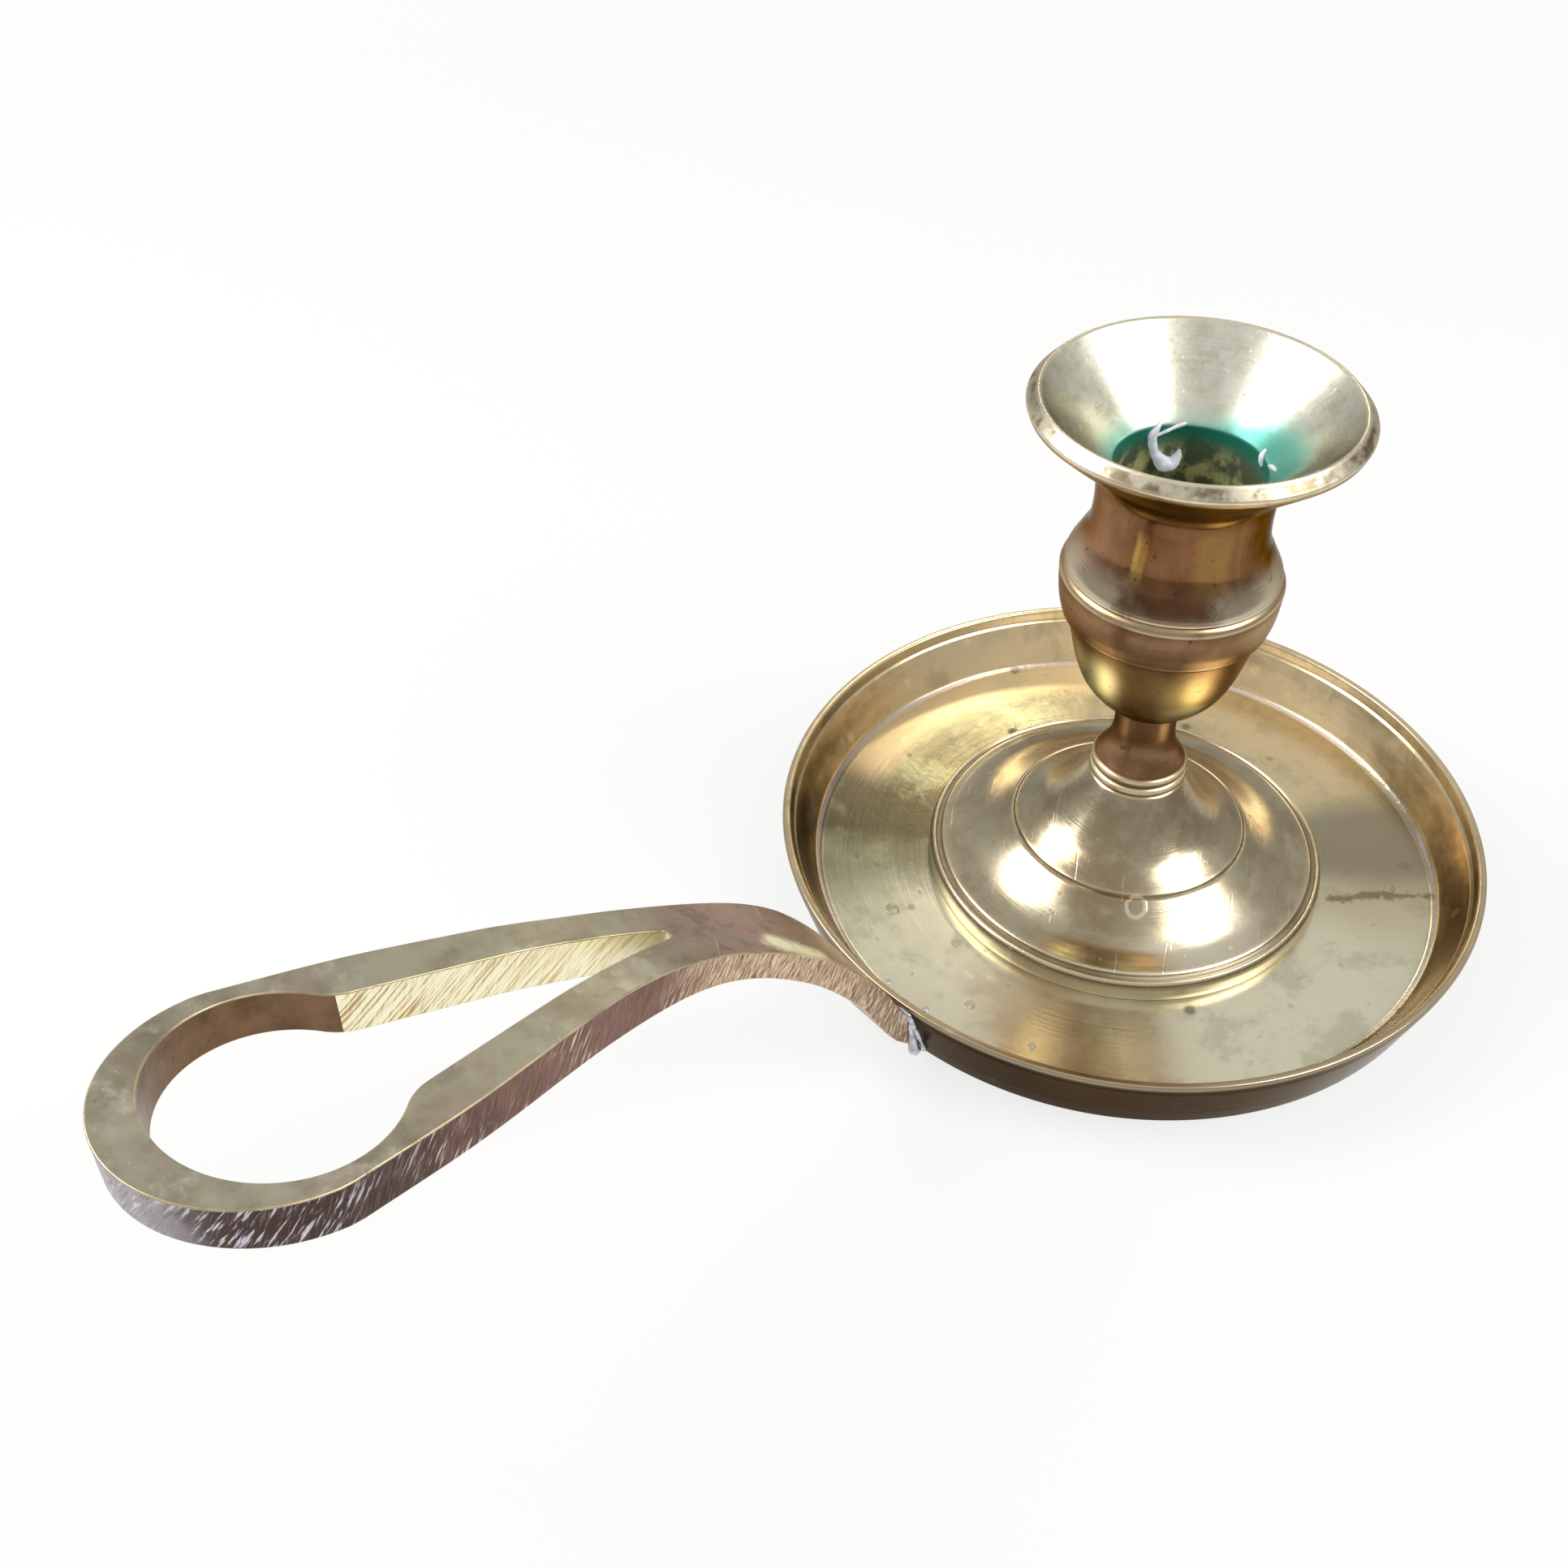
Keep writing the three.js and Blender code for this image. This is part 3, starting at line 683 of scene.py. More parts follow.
def paintNozzle(bench):
    point, radius, height, angle, broad, fine, rings = turnedPlace(bench, nozzle)
    blotch = point.noise(260, 5, 0.6)
    wear, hollow, worn = wornMarks(angle * 0.008, radius, height, 300)
    coneAt = (height - nozzle["coneFoot"]) * nozzle["coneSlope"] + nozzle["boreRadius"]
    inside = (radius - coneAt.larger(nozzle["boreRadius"])).fall(0.5, 1.1)
    bore = inside * height.fall(83.3, 83.9)
    # the brown and copper are set dark, partly brown patina and partly painted shade that keeps the neck dark
    # where it mirrors the pale floor
    coats = Coats(nozzle, broad.step(0.34, 0.66), "brown", "copper")
    # painted reflection: gold under the flare, broken up by wear noise
    under = height.step(81.5, 84.5)
    coats.over(under * worn.step(0.1, 0.6) * 0.85, "goldReflection")
    # painted highlights: vertical gold streaks on the neck, some at fixed turns
    glintNoise = bench.vector(angle * 0.02, height * 0.05 * mm, 0.0).noise(190, 3, 0.6)
    neckGlints = glintNoise.step(0.5, 0.74) * height.fall(80, 83) * 0.14
    for turn, half, reach, share in nozzle["neckGlintStreaks"]:
        glint = (angle + blotch.sway(0.12)).band(turn, half) * height.band(75, reach)
        neckGlints = neckGlints.larger(glint * share)
    coats.over(neckGlints, "goldReflection")
    # painted shade: the right side of the neck darker
    coats.over(angle.step(1.2, 1.8) * 0.35, "dirtAndShade")
    # painted light: the left side of the neck paler and rosy
    coats.over((angle + blotch.sway(0.4)).fall(-0.4, 0.2) * 0.5, "roseLitSide")
    # painted reflection and shade: the shoulder silvery at the sides and dark plum where it faces the view
    shoulder = (height + blotch.sway(2.5)).fall(68.0, 72.5)
    facing = (angle - nozzle["frontTurn"]).cosine()
    frontShade = (facing + blotch.sway(0.3)).step(0.8, 1.0)
    coats.over(shoulder * (1 - frontShade) * 0.85, "silverReflection")
    coats.over(shoulder * frontShade * 0.5, "plumShade")
    specks = point.noise(700, 2, 0.4).step(0.67, 0.75)
    coats.over((specks * 0.6).larger(hollow * 0.6), "dirtAndShade")
    lip = Coats(nozzle, (blotch * 0.7 + worn * 0.3).step(0.4, 0.56), "lipDark", "lipSilver")
    coats.over(height.step(93.0, 93.6), lip)
    cone = Coats(nozzle, (blotch + rings.sway(0.3)).step(0.26, 0.66), "coneGrey", "conePale")
    coats.over(inside, cone)
    coats.over(wear * worn.step(0.15, 0.45) * 0.85, "bright")
    residueAt = angle - nozzle["residueTurn"]
    reach = 1.2 + (residueAt * 2).cosine() * 1.5 + residueAt.cosine() * 1.6
    spread = radius - nozzle["boreRadius"] - reach - blotch.sway(3.0)
    residue = inside * spread.fall(-1.4, 2.8)
    coats.over(residue * 0.88, Coats(nozzle, spread.step(-3.0, 1.0), "green", "greenPale"))
    deep = (height + blotch.sway(7.0)).fall(78.5, 83.0)
    boreTone = Coats(nozzle, deep, "boreTeal", "soot")
    boreTone.over(blotch.step(0.46, 0.62) * deep * 0.8, "boreGold")
    coats.over(bore, boreTone)
    roughness = 0.22 + inside * 0.06 + broad.sway(0.12) + fine.sway(0.1) + residue * 0.08 + bore * 0.12
    roughness = roughness + under * (1 - inside) * 0.1
    metallic = (1 - residue * 0.45) * (1 - specks * 0.3) * (1 - bore * 0.3)
    relief = rings * 0.6 + fine * 0.3 + residue * blotch * 0.8 - specks * 0.5
    return coats, roughness, metallic, relief


nozzleFinish = makeFinish("flaredNozzle", paintNozzle, nozzle)
turnPiece("nozzleTurned", nozzle, nozzleFinish, "flared_nozzle")

# Keyhole handle: a bar bent up from the dish wall, with a slot and a round hole
handle = {
    "arch": [
        (59.4, 11.4), (61.4, 14.9), (65.65, 22.5), (74.8, 33.9), (86.04, 43.12), (99.05, 50.5),
        (114.03, 55.78), (130.96, 59.31), (157.23, 64.18), (175.2, 67.7),
    ],
    "outline": [
        (53, 9.8), (59.96, 8.1), (65.88, 7.3), (78.09, 6.7), (94, 6.2), (108, 7.95), (122.06, 11.35),
        (137.92, 15.09), (155, 17.9),
    ],
    "archSteps": 12, "outlineSteps": 10,
    "meetHeight": 12.0, "endHeight": 1.8, "heel": (61.2, 6.4),
    "footDepth": 4.3, "neckDepth": 4.4, "loopDepth": 7.1,
    "depthFrom": 57, "depthSpan": 37, "neckEase": (0.14, 0.62), "loopEase": (0.68, 1.48),
    "tip": 175.2, "loopCentre": 155.0, "loopHalf": 17.9, "holeCentre": 154.2, "holeRadius": 15.1,
    "slotTip": 98.9, "slotTipRadius": 0.8, "slotShoulder": 9.3, "shoulderSoft": 2.6,
    "wallRadius": 56.0, "wallLean": 0.3306, "solderGap": 0.3,
    "across": 4, "neckSteps": 56, "tipSteps": 6, "slotSteps": 28, "shoulderSteps": 5, "holeSteps": 44,
    "edge": 0.35, "edgeSegments": 3, "edgeAngle": 50, "topUv": 0.5, "lowUv": -0.007,
    "markReach": 0.8, "slotMarks": (97, 143), "shoulderMark": 142.5, "heelMarks": (61, 64),
    "topKhaki": (172, 168, 149), "topMauve": (164, 146, 134), "topPale": (204, 200, 182),
    "topDull": (136, 128, 107), "neckRose": (166, 136, 118), "neckGrey": (116, 108, 94),
    "archHighlight": (255, 250, 214), "edgeHighlight": (214, 194, 150), "sideBrown": (128, 92, 79),
    "sideDark": (72, 54, 47), "neckSide": (204, 172, 136), "filed": (236, 216, 190),
    "filedCoolSheen": (222, 216, 226), "slotYellow": (255, 250, 216), "slotShade": (216, 190, 138),
    "slotGold": (186, 154, 100), "holeBrown": (124, 96, 68),
    "archHighlightLine": ((76.0, 6.0), (82.5, 3.6)),
    "strokeLean": -0.6,
    "bump": 0.05,
}


# a value read off a list of (place, value) that runs upward
def readOff(pairs, place):
    if place <= pairs[0][0]:
        return pairs[0][1]
    for (a, low), (b, high) in zip(pairs, pairs[1:]):
        if place <= b:
            return low + (high - low) * (place - a) / (b - a)
    return pairs[-1][1]


def easeBetween(value, low, high):
    share = clamp((value - low) / (high - low))
    return share * share * (3 - 2 * share)


topLine = [tuple(p) for p in smoothRun(handle["arch"], handle["archSteps"])]
halfLine = [tuple(p) for p in smoothRun(handle["outline"], handle["outlineSteps"])]


def barDepth(x):
    share = (x - handle["depthFrom"]) / handle["depthSpan"]
    neckShare = easeBetween(share, *handle["neckEase"])
    loopShare = easeBetween(share, *handle["loopEase"])
    depth = handle["footDepth"] + (handle["neckDepth"] - handle["footDepth"]) * neckShare
    return depth + (handle["loopDepth"] - handle["neckDepth"]) * loopShare


underLine = [handle["heel"]]
for before, here, after in zip(topLine[:1] + topLine, topLine, topLine[1:] + topLine[-1:]):
    course = (Vector(after) - Vector(before)).normalized()
    under = Vector(here) + barDepth(here[0]) * Vector((course.y, -course.x))
    underLine.append(tuple(under))


# where the dish wall cuts the bar, at a height and a distance from the middle
def wallX(z, y):
    reach = handle["wallRadius"] + handle["wallLean"] * z + handle["solderGap"]
    return math.sqrt(reach * reach - y * y)


def onCircle(centre, radius, turn):
    return Vector((centre + radius * math.cos(turn), radius * math.sin(turn)))


# stations of the bar: pairs of inner and outer points on one side, from the slot's tip round the loop
def loopStations():
    centre, radius = handle["holeCentre"], handle["holeRadius"]
    tip, tipRadius = handle["slotTip"], handle["slotTipRadius"]
    soft = handle["shoulderSoft"]
    shoulderTurn = math.pi - math.asin(handle["slotShoulder"] / radius)
    shoulder = onCircle(centre, radius, shoulderTurn)
    pastTurn = shoulderTurn - soft / radius
    past = onCircle(centre, radius, pastTurn)
    slotStart = Vector((tip, tipRadius))
    slotEnd = shoulder - (shoulder - slotStart).normalized() * soft
    tipSteps, slotSteps, holeSteps = handle["tipSteps"], handle["slotSteps"], handle["holeSteps"]
    inner = [onCircle(tip, tipRadius, math.pi - k / tipSteps * math.pi / 2) for k in range(tipSteps + 1)]
    inner += [slotStart.lerp(slotEnd, k / slotSteps) for k in range(1, slotSteps + 1)]
    inner += bendRun(slotEnd, shoulder, past, handle["shoulderSteps"])[1:]
    inner += [onCircle(centre, radius, pastTurn * (1 - k / holeSteps)) for k in range(1, holeSteps + 1)]
    reach = handle["tip"] - handle["loopCentre"]
    stations = []
    for point in inner:
        turn = math.atan2(point.y, point.x - centre)
        outer = (point.x, readOff(halfLine, point.x))
        if point.x > centre:
            outer = (handle["loopCentre"] + reach * math.cos(turn), handle["loopHalf"] * math.sin(turn))
        stations.append((tuple(point), outer))
    return stations


def buildHandle(finish):
    across = handle["across"]
    shares = [k / across for k in range(-across, across + 1)]
    work = bmesh.new()
    uv = work.loops.layers.uv.new("barUv")
    stations = loopStations()
    heelX, tipX = handle["heel"][0], stations[0][0][0]
    neckXs = [heelX + (tipX - heelX) * k / handle["neckSteps"] for k in range(handle["neckSteps"] + 1)]

    # a column is a point on top of the bar and one under it
    def column(x, y):
        return [work.verts.new((x * mm, y * mm, readOff(line, x) * mm)) for line in (topLine, underLine)]

    def endColumn(share):
        pair = []
        for z in (handle["meetHeight"], handle["endHeight"]):
            y = share * readOff(halfLine, wallX(z, 0))
            pair.append(work.verts.new((wallX(z, y) * mm, y * mm, z * mm)))
        return pair

    def skin(rows, flip):
        for first, second in zip(rows, rows[1:]):
            for k in range(len(first) - 1):
                for corners in zip(first[k], second[k], second[k + 1], first[k + 1]):
                    face = work.faces.new(corners[::-1] if flip else corners)
                    flip = not flip
                    for loop in face.loops:
                        loop[uv].uv = (loop.vert.co.x, loop.vert.co.y + handle["topUv"])

    def wall(columns, flip, course):
        run = 0.0
        for (a, d), (b, c) in zip(columns, columns[1:]):
            face = work.faces.new([a, d, c, b] if flip else [a, b, c, d])
            length = (b.co - a.co).length
            along = {a: run, d: run, b: run + length, c: run + length}
            run += length
            for loop in face.loops:
                loop[uv].uv = (course * along[loop.vert], 0.0 if loop.vert in (a, b) else handle["lowUv"])

    # rows of the solid neck from the dish wall to the slot's tip, each from -y to +y
    neck = [[endColumn(share) for share in shares]]
    for x in neckXs:
        half = readOff(halfLine, x)
        neck.append([column(x, share * half) for share in shares])

    # rows round the loop, from the inner edge out, first along +y and back along -y
    loopRows = [neck[-1][across:]]
    ordered = [(inner, outer, 1) for inner, outer in stations[1:]]
    ordered += [(inner, outer, -1) for inner, outer in reversed(stations[1:-1])]
    for inner, outer, side in ordered:
        places = [Vector(inner).lerp(Vector(outer), share) for share in shares[across:]]
        loopRows.append([column(x, side * y) for x, y in places])
    loopRows.append(neck[-1][across::-1])

    skin(neck, True)
    skin(loopRows, False)
    wall([row[-1] for row in neck + loopRows[1:-1]] + [row[0] for row in reversed(neck)], False, 1)
    wall([row[0] for row in loopRows], True, -1)
    wall(neck[0], False, 1)
    bmesh.ops.remove_doubles(work, verts=work.verts, dist=making["weld"])
    bmesh.ops.recalc_face_normals(work, faces=work.faces)
    piece = newPiece("handleBar", [])
    work.to_mesh(piece.data)
    work.free()
    piece.data.shade_smooth()
    bevel = piece.modifiers.new("edge", "BEVEL")
    bevel.width = handle["edge"] * mm
    bevel.segments = handle["edgeSegments"]
    bevel.limit_method = "ANGLE"
    bevel.angle_limit = math.radians(handle["edgeAngle"])
    bevel.harden_normals = True
    piece.data.materials.append(finish)
    piece.data.materials.append(finish)
    bevel.material = 1  # tells the softened edges from the rest
    keepResult(piece)
    markBar(piece.data)
    piece.data.materials.pop(index=1)
    return piece


# face marks: upright walls, the wall of the opening, and the softened edges between
def markBar(mesh):
    slotFrom, slotTo = handle["slotMarks"]
    endMark, edgeMark = handle["heelMarks"]
    slotLine = [(slotFrom, 0.5), (handle["slotTip"], handle["slotTipRadius"]),
                (handle["shoulderMark"], handle["slotShoulder"]), (slotTo, 0)]
    upright, opening, edge = [], [], []
    for face in mesh.polygons:
        x, y = face.center.x / mm, abs(face.center.y / mm)
        wallFace = face.normal.z < 0.12 and not (face.normal.x < -0.7 and x < endMark)
        inHole = math.hypot(x - handle["holeCentre"], y) < handle["holeRadius"] + handle["markReach"]
        inSlot = wallFace and slotFrom < x < slotTo and y < readOff(slotLine, x) + handle["markReach"]
        upright.append(1.0 if wallFace else 0.0)
        opening.append(1.0 if inHole else (0.5 if inSlot else 0.0))
        edge.append(1.0 if face.material_index == 1 and x > edgeMark else 0.0)
        face.material_index = 0
    for name, values in (("upright", upright), ("opening", opening), ("softEdge", edge)):
        setMarks(mesh, name, values, "FACE")


def paintHandle(bench):
    point = bench.point()
    run = bench.add("ShaderNodeUVMap", uv_map="barUv")
    upright, opening, edge = bench.mark("upright"), bench.mark("opening"), bench.mark("softEdge")
    broad = point.noise(60, 5, 0.6, 0.5)
    blotch = point.noise(210, 5, 0.6)
    fine = point.noise(1300, 3)
    grain = point.shift(scale=(0.12, 1, 1)).noise(1500, 2)
    along = bench.split(point)[0] / mm
    top = Coats(handle, (broad * 0.6 + blotch * 0.4).step(0.32, 0.6), "topDull", "topKhaki")
    neck = (along + broad.sway(24)).fall(88, 108)
    top.over(point.shift((0, 0.6, 0)).noise(150, 5, 0.65).step(0.54, 0.68) * 0.6, "topPale")
    top.over(point.shift((0.5, 0, 0.3)).noise(110, 5, 0.65).step(0.5, 0.64) * 0.55, "topMauve")
    top.over(neck * (blotch * 0.6 + broad * 0.4).step(0.3, 0.5), "neckRose")
    grey = point.shift((0.3, 0, 0)).noise(240, 5, 0.7)
    top.over(neck * grey.step(0.5, 0.6) * 0.6, "neckGrey")
    top.over(hairlines(point, 900, 0.5, 0.66, 0.72) * neck * 0.5, "topPale")
    # painted highlight: a pale gold patch on the top face where the arch bends
    shine = planDistance(point, *handle["archHighlightLine"]) + (blotch + grey - 1.0) * 3.0
    top.over(shine.fall(0.6, 3.0), "archHighlight")
    lean = handle["strokeLean"]
    strokes = run.drawn(lean, 0.09).noise(2100, 3, 0.6)
    crossed = run.drawn(lean + 0.25, 0.06).noise(3600, 2, 0.5)
    longer = run.drawn(lean - 0.15, 0.03).noise(2600, 3, 0.6)
    loopEnd = along.step(120, 168)
    group = (run.noise(70, 2) + loopEnd * 0.08).step(0.48, 0.6)
    # painted shade: the side walls darken toward the loop's end, over random blotches
    side = Coats(handle, (blotch * 0.5 + loopEnd * 0.35).step(0.2, 0.6), "sideBrown", "sideDark")
    side.over(neck * (0.85 - along.fall(62, 74) * 0.5), "neckSide")
    denser = crossed.step(0.53, 0.6) * (0.1 + neck * 0.8)
    filed = (strokes.step(0.54, 0.62) * group.larger(neck)).larger(denser)
    # painted highlight: a cool sheen on the side at the loop's tip; toward the loop's end the real filing
    # strokes also take this painted cool sheen
    side.over((along + blotch.sway(6)).step(168, 174) * 0.45, "filedCoolSheen")
    side.over(filed * 0.85, Coats(handle, loopEnd, "filed", "filedCoolSheen"))
    scored = strokes.step(0.46, 0.36) * 0.5
    side.over(scored.larger(crossed.step(0.45, 0.36) * neck * 0.75), "sideDark")
    slot = Coats(handle, along.step(112, 138), "slotShade", "slotGold")
    slot.over((longer * 0.8 + crossed * 0.2).step(0.38, 0.54), "slotYellow")
    slot.over(along.fall(101, 110) * 0.5, "topPale")
    side.over(opening.band(0.5, 0.4), slot)
    hole = Coats(handle, blotch.step(0.35, 0.7) * 0.6, "holeBrown", "sideDark")
    side.over(opening.step(0.7, 0.9), hole)
    top.over(upright, side)
    specks = point.noise(620, 2, 0.4).step(0.68, 0.76) * (1 - upright)
    top.over(specks * 0.4, "topDull")
    # painted highlight along the softened edges, broken up by blotches
    top.over(edge * blotch.step(0.3, 0.6) * 0.7, "edgeHighlight")
    roughness = 0.4 - upright * 0.06 + blotch.sway(0.16) + fine.sway(0.12) - edge * 0.08
    metallic = 0.86 + upright * 0.1 - specks * 0.3
    filing = (strokes + crossed * 0.5) * upright * 1.3
    relief = grain * 0.4 * (1 - upright) + fine * 0.3 + filing - specks * 0.5
    return top, roughness, metallic, relief


handleFinish = makeFinish("filedHandle", paintHandle, handle)
handlePiece = buildHandle(handleFinish)
settle(handlePiece, "keyhole_handle")
print("handleBar built:", len(handlePiece.data.polygons), "faces")

# Slotted nut under the dish: the solid's own shape with a dull finish
nut = {
    "dull": (140, 116, 66), "dark": (84, 66, 38), "bright": (196, 172, 112),
    "broad": (160, 5, 0.6), "fine": 1400, "rings": 1900, "bump": 0.04,
}


def paintNut(bench):
    place = turnedPlace(bench, nut)
    radius, broad, fine, rings = place[1], *place[4:]
    coats = Coats(nut, broad.step(0.36, 0.64), "dark", "dull")
    coats.over(radius.band(8.4, 0.6) * fine.step(0.4, 0.6) * 0.7, "bright")
    return coats, 0.4 + broad.sway(0.2), 0.95 - fine * 0.1, rings * 0.7 + fine * 0.4


nutFinish = makeFinish("dullNut", paintNut, nut)
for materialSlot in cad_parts["tenon_nut"].material_slots:
    materialSlot.material = nutFinish


# a lumpy bead along a line, for solder and for runs of wax
def beadTree():
    inputs = {"Line": "Geometry", "Radius": "Float", "Lump": "Float", "Lump Scale": "Float",
              "Closeness": "Float", "Seed": "Float", "Finish": "Material"}
    bench, line = newTree("lumpyBead", inputs)
    curve = bench.add("GeometryNodeMeshToCurve", {0: line})
    sockets = {"Curve": curve, "Length": line.out("Closeness")}
    curve = bench.add("GeometryNodeResampleCurve", sockets, mode="LENGTH")
    sockets = {"Resolution": making["beadSides"], "Radius": line.out("Radius")}
    ring = bench.add("GeometryNodeCurvePrimitiveCircle", sockets)
    girth = bench.named("girth")
    sockets = {"Curve": curve, "Profile Curve": ring, "Scale": girth, "Fill Caps": True}
    bead = bench.add("GeometryNodeCurveToMesh", sockets)
    sockets = {"Vector": bench.add("GeometryNodeInputPosition"), "W": line.out("Seed"),
               "Scale": line.out("Lump Scale"), "Detail": 2.0}
    lump = bench.add("ShaderNodeTexNoise", sockets, noise_dimensions="4D")
    sockets = {0: bench.add("GeometryNodeInputNormal"), "Scale": lump.sway(2.0) * line.out("Lump")}
    push = bench.add("ShaderNodeVectorMath", sockets, operation="SCALE")
    bead = bench.shape("SetPosition", bead, Offset=push)
    return endTree(bench, bead, line.out("Finish"))


beadWork = beadTree()


# points carry their own girth where a fourth value is given
def beadPiece(name, points, settings, finish, closed=False):
    edges = [(i, i + 1) for i in range(len(points) - 1)]
    if closed:
        edges.append((len(points) - 1, 0))
    piece = newPiece(name, [Vector(p[:3]) * mm for p in points], edges)
    setMarks(piece.data, "girth", [p[3] if len(p) > 3 else 1.0 for p in points])
    values = {label: settings[label.lower()] * mm for label in ("Radius", "Lump", "Closeness")}
    values.update({"Lump Scale": settings["lumpScale"], "Seed": settings["seed"], "Finish": finish})
    runTree(piece, beadWork, values)
    settle(piece)
    print(name, "made:", len(piece.data.polygons), "faces")


# two tones by a broad noise, for solder and wax
def lumpPaint(settings):
    def paint(bench):
        point = bench.point()
        broad = point.noise(settings["broad"], 4)
        fine = point.noise(settings["fine"], 3)
        coats = Coats(settings, broad.step(settings["darkTo"], 0.65), "dark", "pale")
        roughness = settings["rough"] + fine.sway(settings["roughSway"])
        metallic = settings["metal"] - broad * settings["metalFall"]
        return coats, roughness, metallic, broad + fine * settings["grain"]
    return paint


# Solder round the handle's foot where it meets the dish wall
solder = {
    "radius": 0.55, "lump": 0.35, "lumpScale": 380.0, "closeness": 0.35, "seed": 3.0,
    "dark": (170, 168, 170), "pale": (222, 224, 236), "broad": 420, "fine": 2200, "darkTo": 0.35,
    "rough": 0.36, "roughSway": 0.25, "metal": 0.95, "metalFall": 0.1, "grain": 0.6, "bump": 0.05,
    "sink": 0.1, "below": 0.3, "sideSteps": 8, "crossSteps": 16, "foot": 57, "head": 58.8,
    "patch": [
        (57.6, 8.7, 1.6, 0.9), (57.9, 8.6, 2.6, 1.9), (58.2, 8.5, 4.0, 1.7), (58.5, 8.5, 5.8, 1.2),
        (58.9, 8.4, 8.0, 0.7), (59.2, 8.3, 9.6, 0.3),
    ],
}


# down one side of the bar, across under it, up the other side and back over it
def solderLine():
    sink, sideSteps, crossSteps = solder["sink"], solder["sideSteps"], solder["crossSteps"]
    lowHalf = readOff(halfLine, solder["foot"]) + sink
    topHalf = readOff(halfLine, solder["head"]) + sink
    zTop, zLow = handle["meetHeight"], handle["endHeight"]

    def upright(side, shares):
        run = []
        for share in shares:
            z = zTop - solder["below"] + share * (zLow - zTop + solder["below"])
            y = side * (topHalf + share * (lowHalf - topHalf))
            run.append((wallX(z, y) - sink, y, z))
        return run

    def crossing(half, z, inset):
        ys = [half * (1 - 2 * k / crossSteps) for k in range(1, crossSteps)]
        return [(wallX(z, y) - inset, y, z - sink) for y in ys]

    shares = [k / sideSteps for k in range(sideSteps + 1)]
    line = upright(1, shares) + crossing(lowHalf, zLow, sink)
    return line + upright(-1, shares[::-1]) + crossing(-topHalf, zTop, 0)


solderFinish = makeFinish("softSolder", lumpPaint(solder), solder)
beadPiece("solderBead", solderLine(), solder, solderFinish, True)
beadPiece("solderPatch", solder["patch"], solder, solderFinish)

# Wax left in the socket and on the dish: each run has turns in degrees, height and girth
wax = {
    "dark": (196, 194, 206), "pale": (228, 230, 244), "broad": 500, "fine": 2400, "darkTo": 0.35,
    "rough": 0.45, "roughSway": 0.2, "metal": 0.0, "metalFall": 0.0, "grain": 0.5, "bump": 0.05,
    "fixed": {
        "Subsurface Weight": 0.2, "Subsurface Radius": (0.002, 0.002, 0.002),
        # painted light: the wax glows faintly by emission, to lift it out of the bore's shade
        "Emission Strength": 0.25, "Emission Color": tone(228, 230, 244),
    },
    "drip": {"radius": 0.8, "lump": 0.35, "lumpScale": 520.0, "closeness": 0.25, "seed": 5.0},
    "crumb": {"radius": 0.4, "lump": 0.25, "lumpScale": 700.0, "closeness": 0.25, "seed": 8.0},
    "runSteps": 5,
    "runs": [
        ("waxDrip", "drip", 0.25,
         [(-118, 84.6, 0.2), (-114, 83.8, 0.4), (-110, 82.4, 0.9), (-111, 80.6, 0.8), (-116, 78.6, 1.0),
          (-122, 77.2, 1.5), (-129, 77.0, 1.3), (-133, 78.2, 0.9), (-134, 79.4, 0.3)]),
        ("waxStrand", "drip", 0.15,
         [(-114, 82.2, 0.3), (-122, 82.8, 0.35), (-130, 83.6, 0.4), (-136, 84.0, 0.2)]),
        ("waxCrumb", "crumb", 0.1, [(150, 82.4, 0.5), (153, 83.6, 1.1), (155, 84.6, 0.5)]),
        ("waxCrumbSmall", "crumb", 0.1, [(138, 84.0, 0.4), (132, 84.4, 1.0), (126, 84.8, 0.5)]),
    ],
}


# a run along the wall of the bore and the cone above it
def boreLine(turns, inset):
    line = []
    for turn, z, girth in turns:
        cone = max(0.0, (z - nozzle["coneFoot"]) * nozzle["coneSlope"])
        x, y = onCircle(0, nozzle["boreRadius"] + cone - inset, math.radians(turn))
        line.append((x, y, z, girth))
    return [tuple(p) for p in smoothRun(line, wax["runSteps"])]


waxFinish = makeFinish("candleWax", lumpPaint(wax), wax)
for name, kind, inset, turns in wax["runs"]:
    beadPiece(name, boreLine(turns, inset), wax[kind], waxFinish)


# low dried drops with a raised rim, one at each point
def dropTree():
    inputs = {"Places": "Geometry", "Height": "Float", "Seed": "Int", "Finish": "Material"}
    bench, places = newTree("driedDrops", inputs)
    sockets = {"Segments": making["dropSegments"], "Rings": making["dropRings"], "Radius": 1.0}
    ball = bench.add("GeometryNodeMeshUVSphere", sockets)
    x, y, z = bench.split(bench.add("GeometryNodeInputPosition"))
    low = z * (0.45 + (x * x + y * y) * 0.9) * places.out("Height")
    drop = bench.shape("SetPosition", ball, Position=bench.vector(x, y, low))
    size = bench.named("dropSize")
    sockets = {2: 0.0, 3: math.tau, 8: places.out("Seed")}
    turn = bench.add("FunctionNodeRandomValue", sockets, 1)
    sockets = {"Points": places, "Instance": drop, "Rotation": bench.vector(0.0, 0.0, turn),
               "Scale": bench.vector(size, size * 0.8, size)}
    drops = bench.add("GeometryNodeInstanceOnPoints", sockets)
    return endTree(bench, drops, places.out("Finish"))


dropWork = dropTree()


def dropPiece(name, drops, height, seed, finish, slot):
    piece = newPiece(name, [Vector((x, y, dish["floor"])) * mm for x, y, size in drops])
    setMarks(piece.data, "dropSize", [size * mm for x, y, size in drops])
    runTree(piece, dropWork, {"Height": height, "Seed": seed, "Finish": finish})
    settle(piece)
    print(name, "made:", len(piece.data.polygons), "faces")


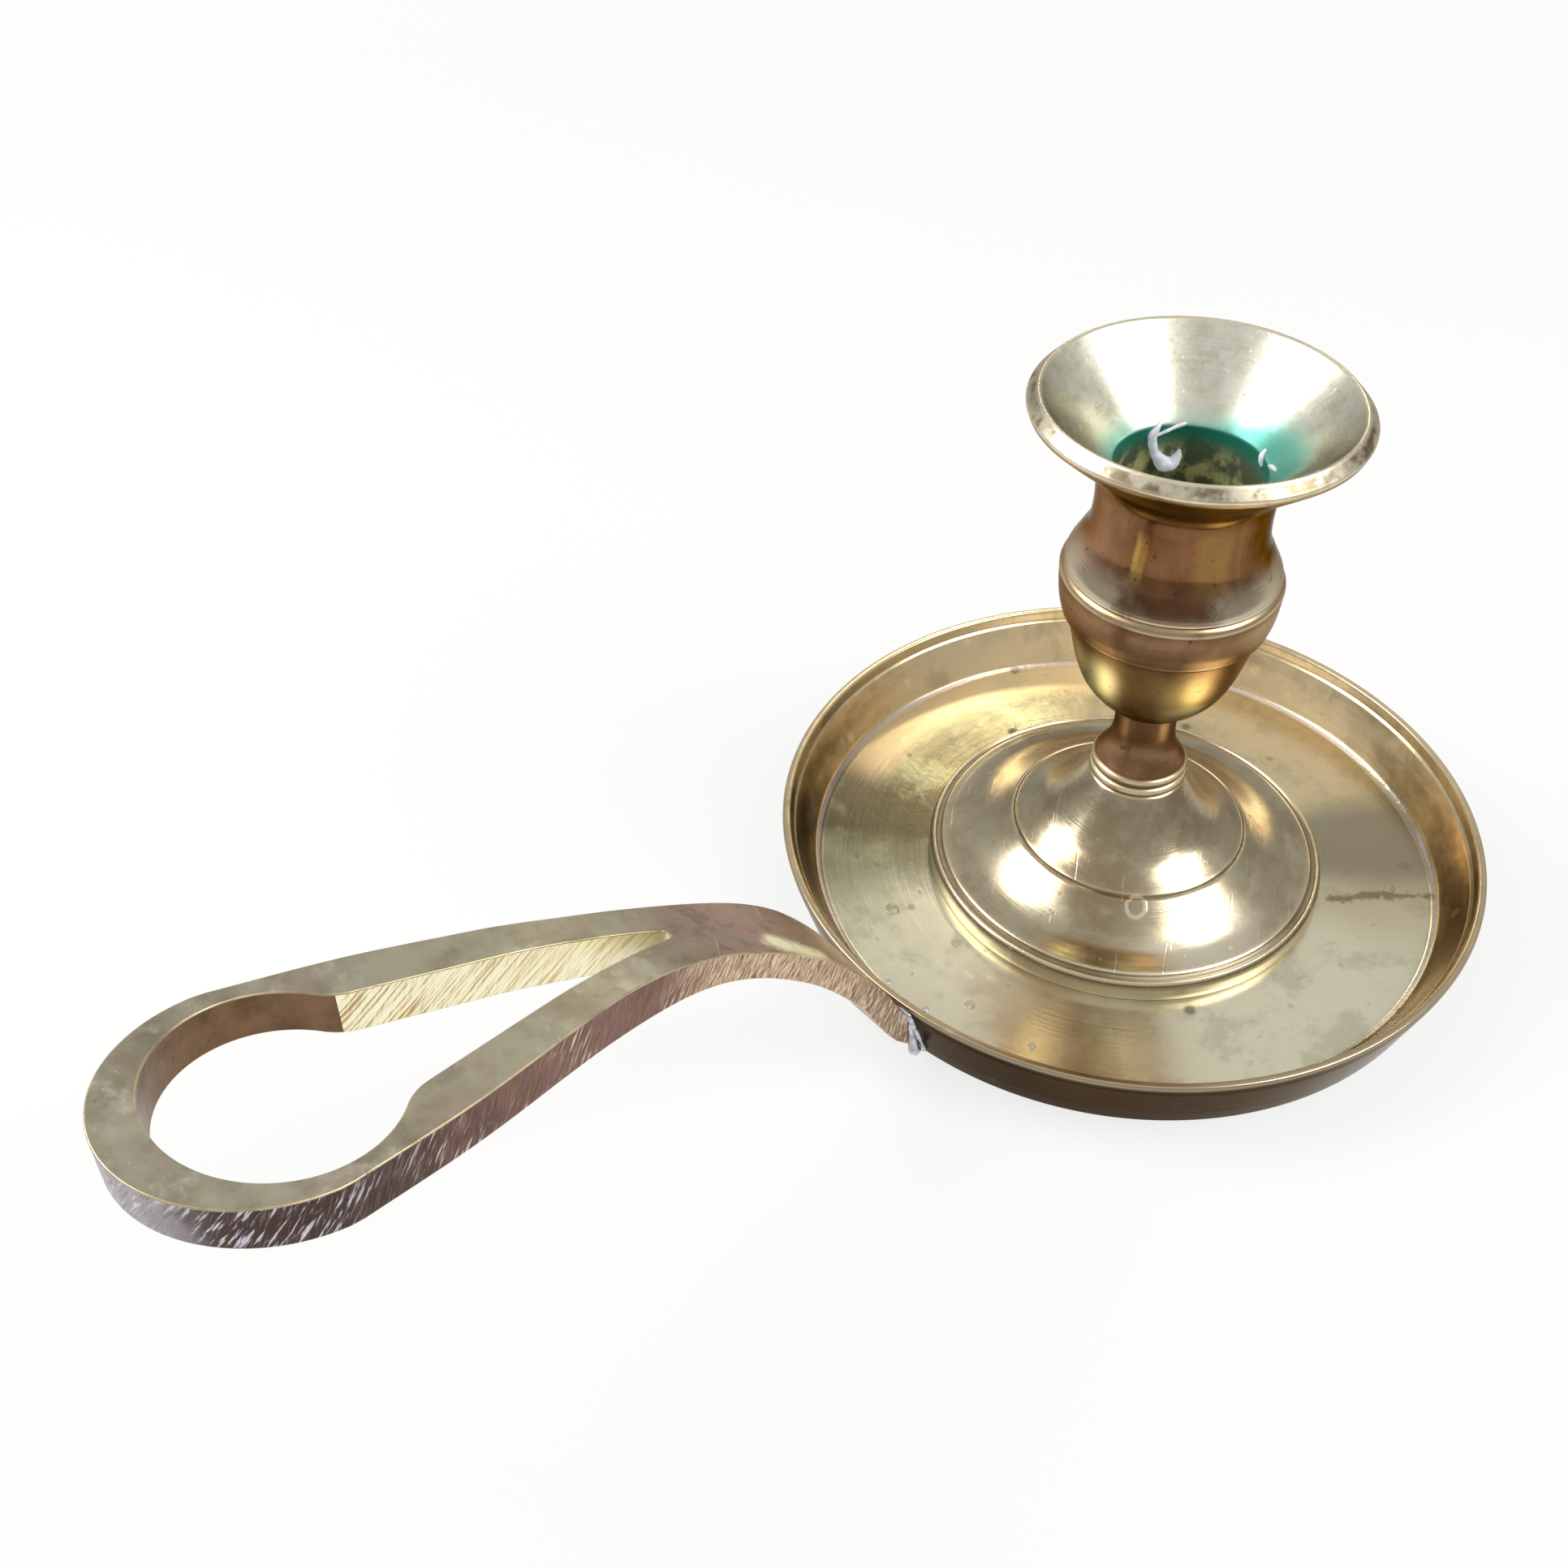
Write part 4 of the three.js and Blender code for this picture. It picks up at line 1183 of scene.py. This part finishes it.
# dried drops are thin and show the brass through; a drop has a place and radius, a form has height and seed
dried = {
    "dark": (158, 153, 128), "pale": (200, 196, 172), "broad": 600, "fine": 2400, "darkTo": 0.4,
    "rough": 0.3, "roughSway": 0.2, "metal": 0.7, "metalFall": 0.3, "grain": 0.5, "bump": 0.03,
    "wax": [(40.2, -16.0, 1.4), (45.1, 8.0, 1.1), (-30.0, 36.0, 0.9), (43.5, 20.5, 0.8)],
    "waxForm": (0.16, 4),
    "solder": [(51.9, -4.1, 0.55), (51.3, 4.1, 0.6)],
    "solderForm": (0.5, 6),
}
driedFinish = makeFinish("driedDrop", lumpPaint(dried), dried)
dropPiece("waxDrops", dried["wax"], *dried["waxForm"], driedFinish, "dish_brass")
dropPiece("solderDrops", dried["solder"], *dried["solderForm"], solderFinish, "dish_brass")

# Floor: pale, white to the camera and in reflections, and it keeps a soft shadow
stage = {  # lengths in metres
    "half": 4.0, "drop": -0.0002, "pale": (0.8, 0.8, 0.8, 1.0), "white": (1, 1, 1, 1),
    "whiteShare": 0.8, "whiteFrom": 0.25, "whiteAt": 0.7, "glossyWhite": 1.0,
}


# 1 for camera and transmitted rays, and a share for glossy ones
def raysShown(bench, glossyShare):
    rays = bench.add("ShaderNodeLightPath", output="Is Camera Ray")
    return rays.larger(rays.out("Is Transmission Ray")).larger(rays.out("Is Glossy Ray") * glossyShare)


def makeFloor():
    half = stage["half"]
    corners = [(x, y, stage["drop"]) for x, y in ((-half, -half), (half, -half), (half, half), (-half, half))]
    piece = newPiece("studioFloor", corners, [], [(0, 1, 2, 3)])
    material = bpy.data.materials.new("studioFloor")
    bench = newBench(material)
    lit = bench.add("ShaderNodeBsdfDiffuse", {"Color": stage["pale"]})
    white = bench.add("ShaderNodeEmission", {"Color": stage["white"], "Strength": 1.0})
    away = bench.vectorMath("LENGTH", bench.point(), (0, 0, 0), "Value")
    far = away.step(stage["whiteFrom"], stage["whiteAt"])
    share = raysShown(bench, stage["glossyWhite"]) * (stage["whiteShare"] + (1 - stage["whiteShare"]) * far)
    shown = bench.add("ShaderNodeMixShader", {0: share, 1: lit, 2: white})
    bench.add("ShaderNodeOutputMaterial", {"Surface": shown})
    piece.data.materials.append(material)


makeFloor()

# Studio light: two soft boxes to the sides, a warm glow from behind, and a dim room
lamps = {
    "boxes": {  # place, size in metres, power and colour
        "leftBox": ((335, -378, 500), (0.36, 0.38), 2.9, (1.0, 0.985, 0.96)),
        "rightBox": ((-226, 409, 583), (0.36, 0.38), 2.9, (1.0, 0.98, 0.94)),
        "backGlow": ((-407, -406, 453), (0.085, 0.05), 0.18, (1.0, 0.86, 0.6)),
    },
    "aim": (10, 0, 30),
    "roomLow": (0.20, 0.185, 0.165, 1.0),
    "roomHigh": (0.56, 0.55, 0.53, 1.0),
    "glossyWhite": 0.25,
}
for name, (at, size, power, colour) in lamps["boxes"].items():
    lamp = bpy.data.lights.new(name, "AREA")
    lamp.shape = "RECTANGLE"
    lamp.size, lamp.size_y = size
    lamp.energy = power
    lamp.color = colour
    holder = bpy.data.objects.new(name, lamp)
    holder.location = Vector(at) * mm
    holder.rotation_mode = "QUATERNION"
    holder.rotation_quaternion = (Vector(lamps["aim"]) * mm - holder.location).to_track_quat("-Z", "Y")
    scene.collection.objects.link(holder)

world = bpy.data.worlds.new("studioRoom")
scene.world = world
roomBench = newBench(world)
up = roomBench.split(roomBench.add("ShaderNodeTexCoord", output="Generated"))[2]
room = roomBench.mix(up.step(-0.1, 0.9), lamps["roomLow"], lamps["roomHigh"])
roomTone = roomBench.mix(raysShown(roomBench, lamps["glossyWhite"]), room, stage["white"])
backdrop = roomBench.add("ShaderNodeBackground", {"Color": roomTone, "Strength": 1.0})
roomBench.add("ShaderNodeOutputWorld", {"Surface": backdrop})
print("studio lit")
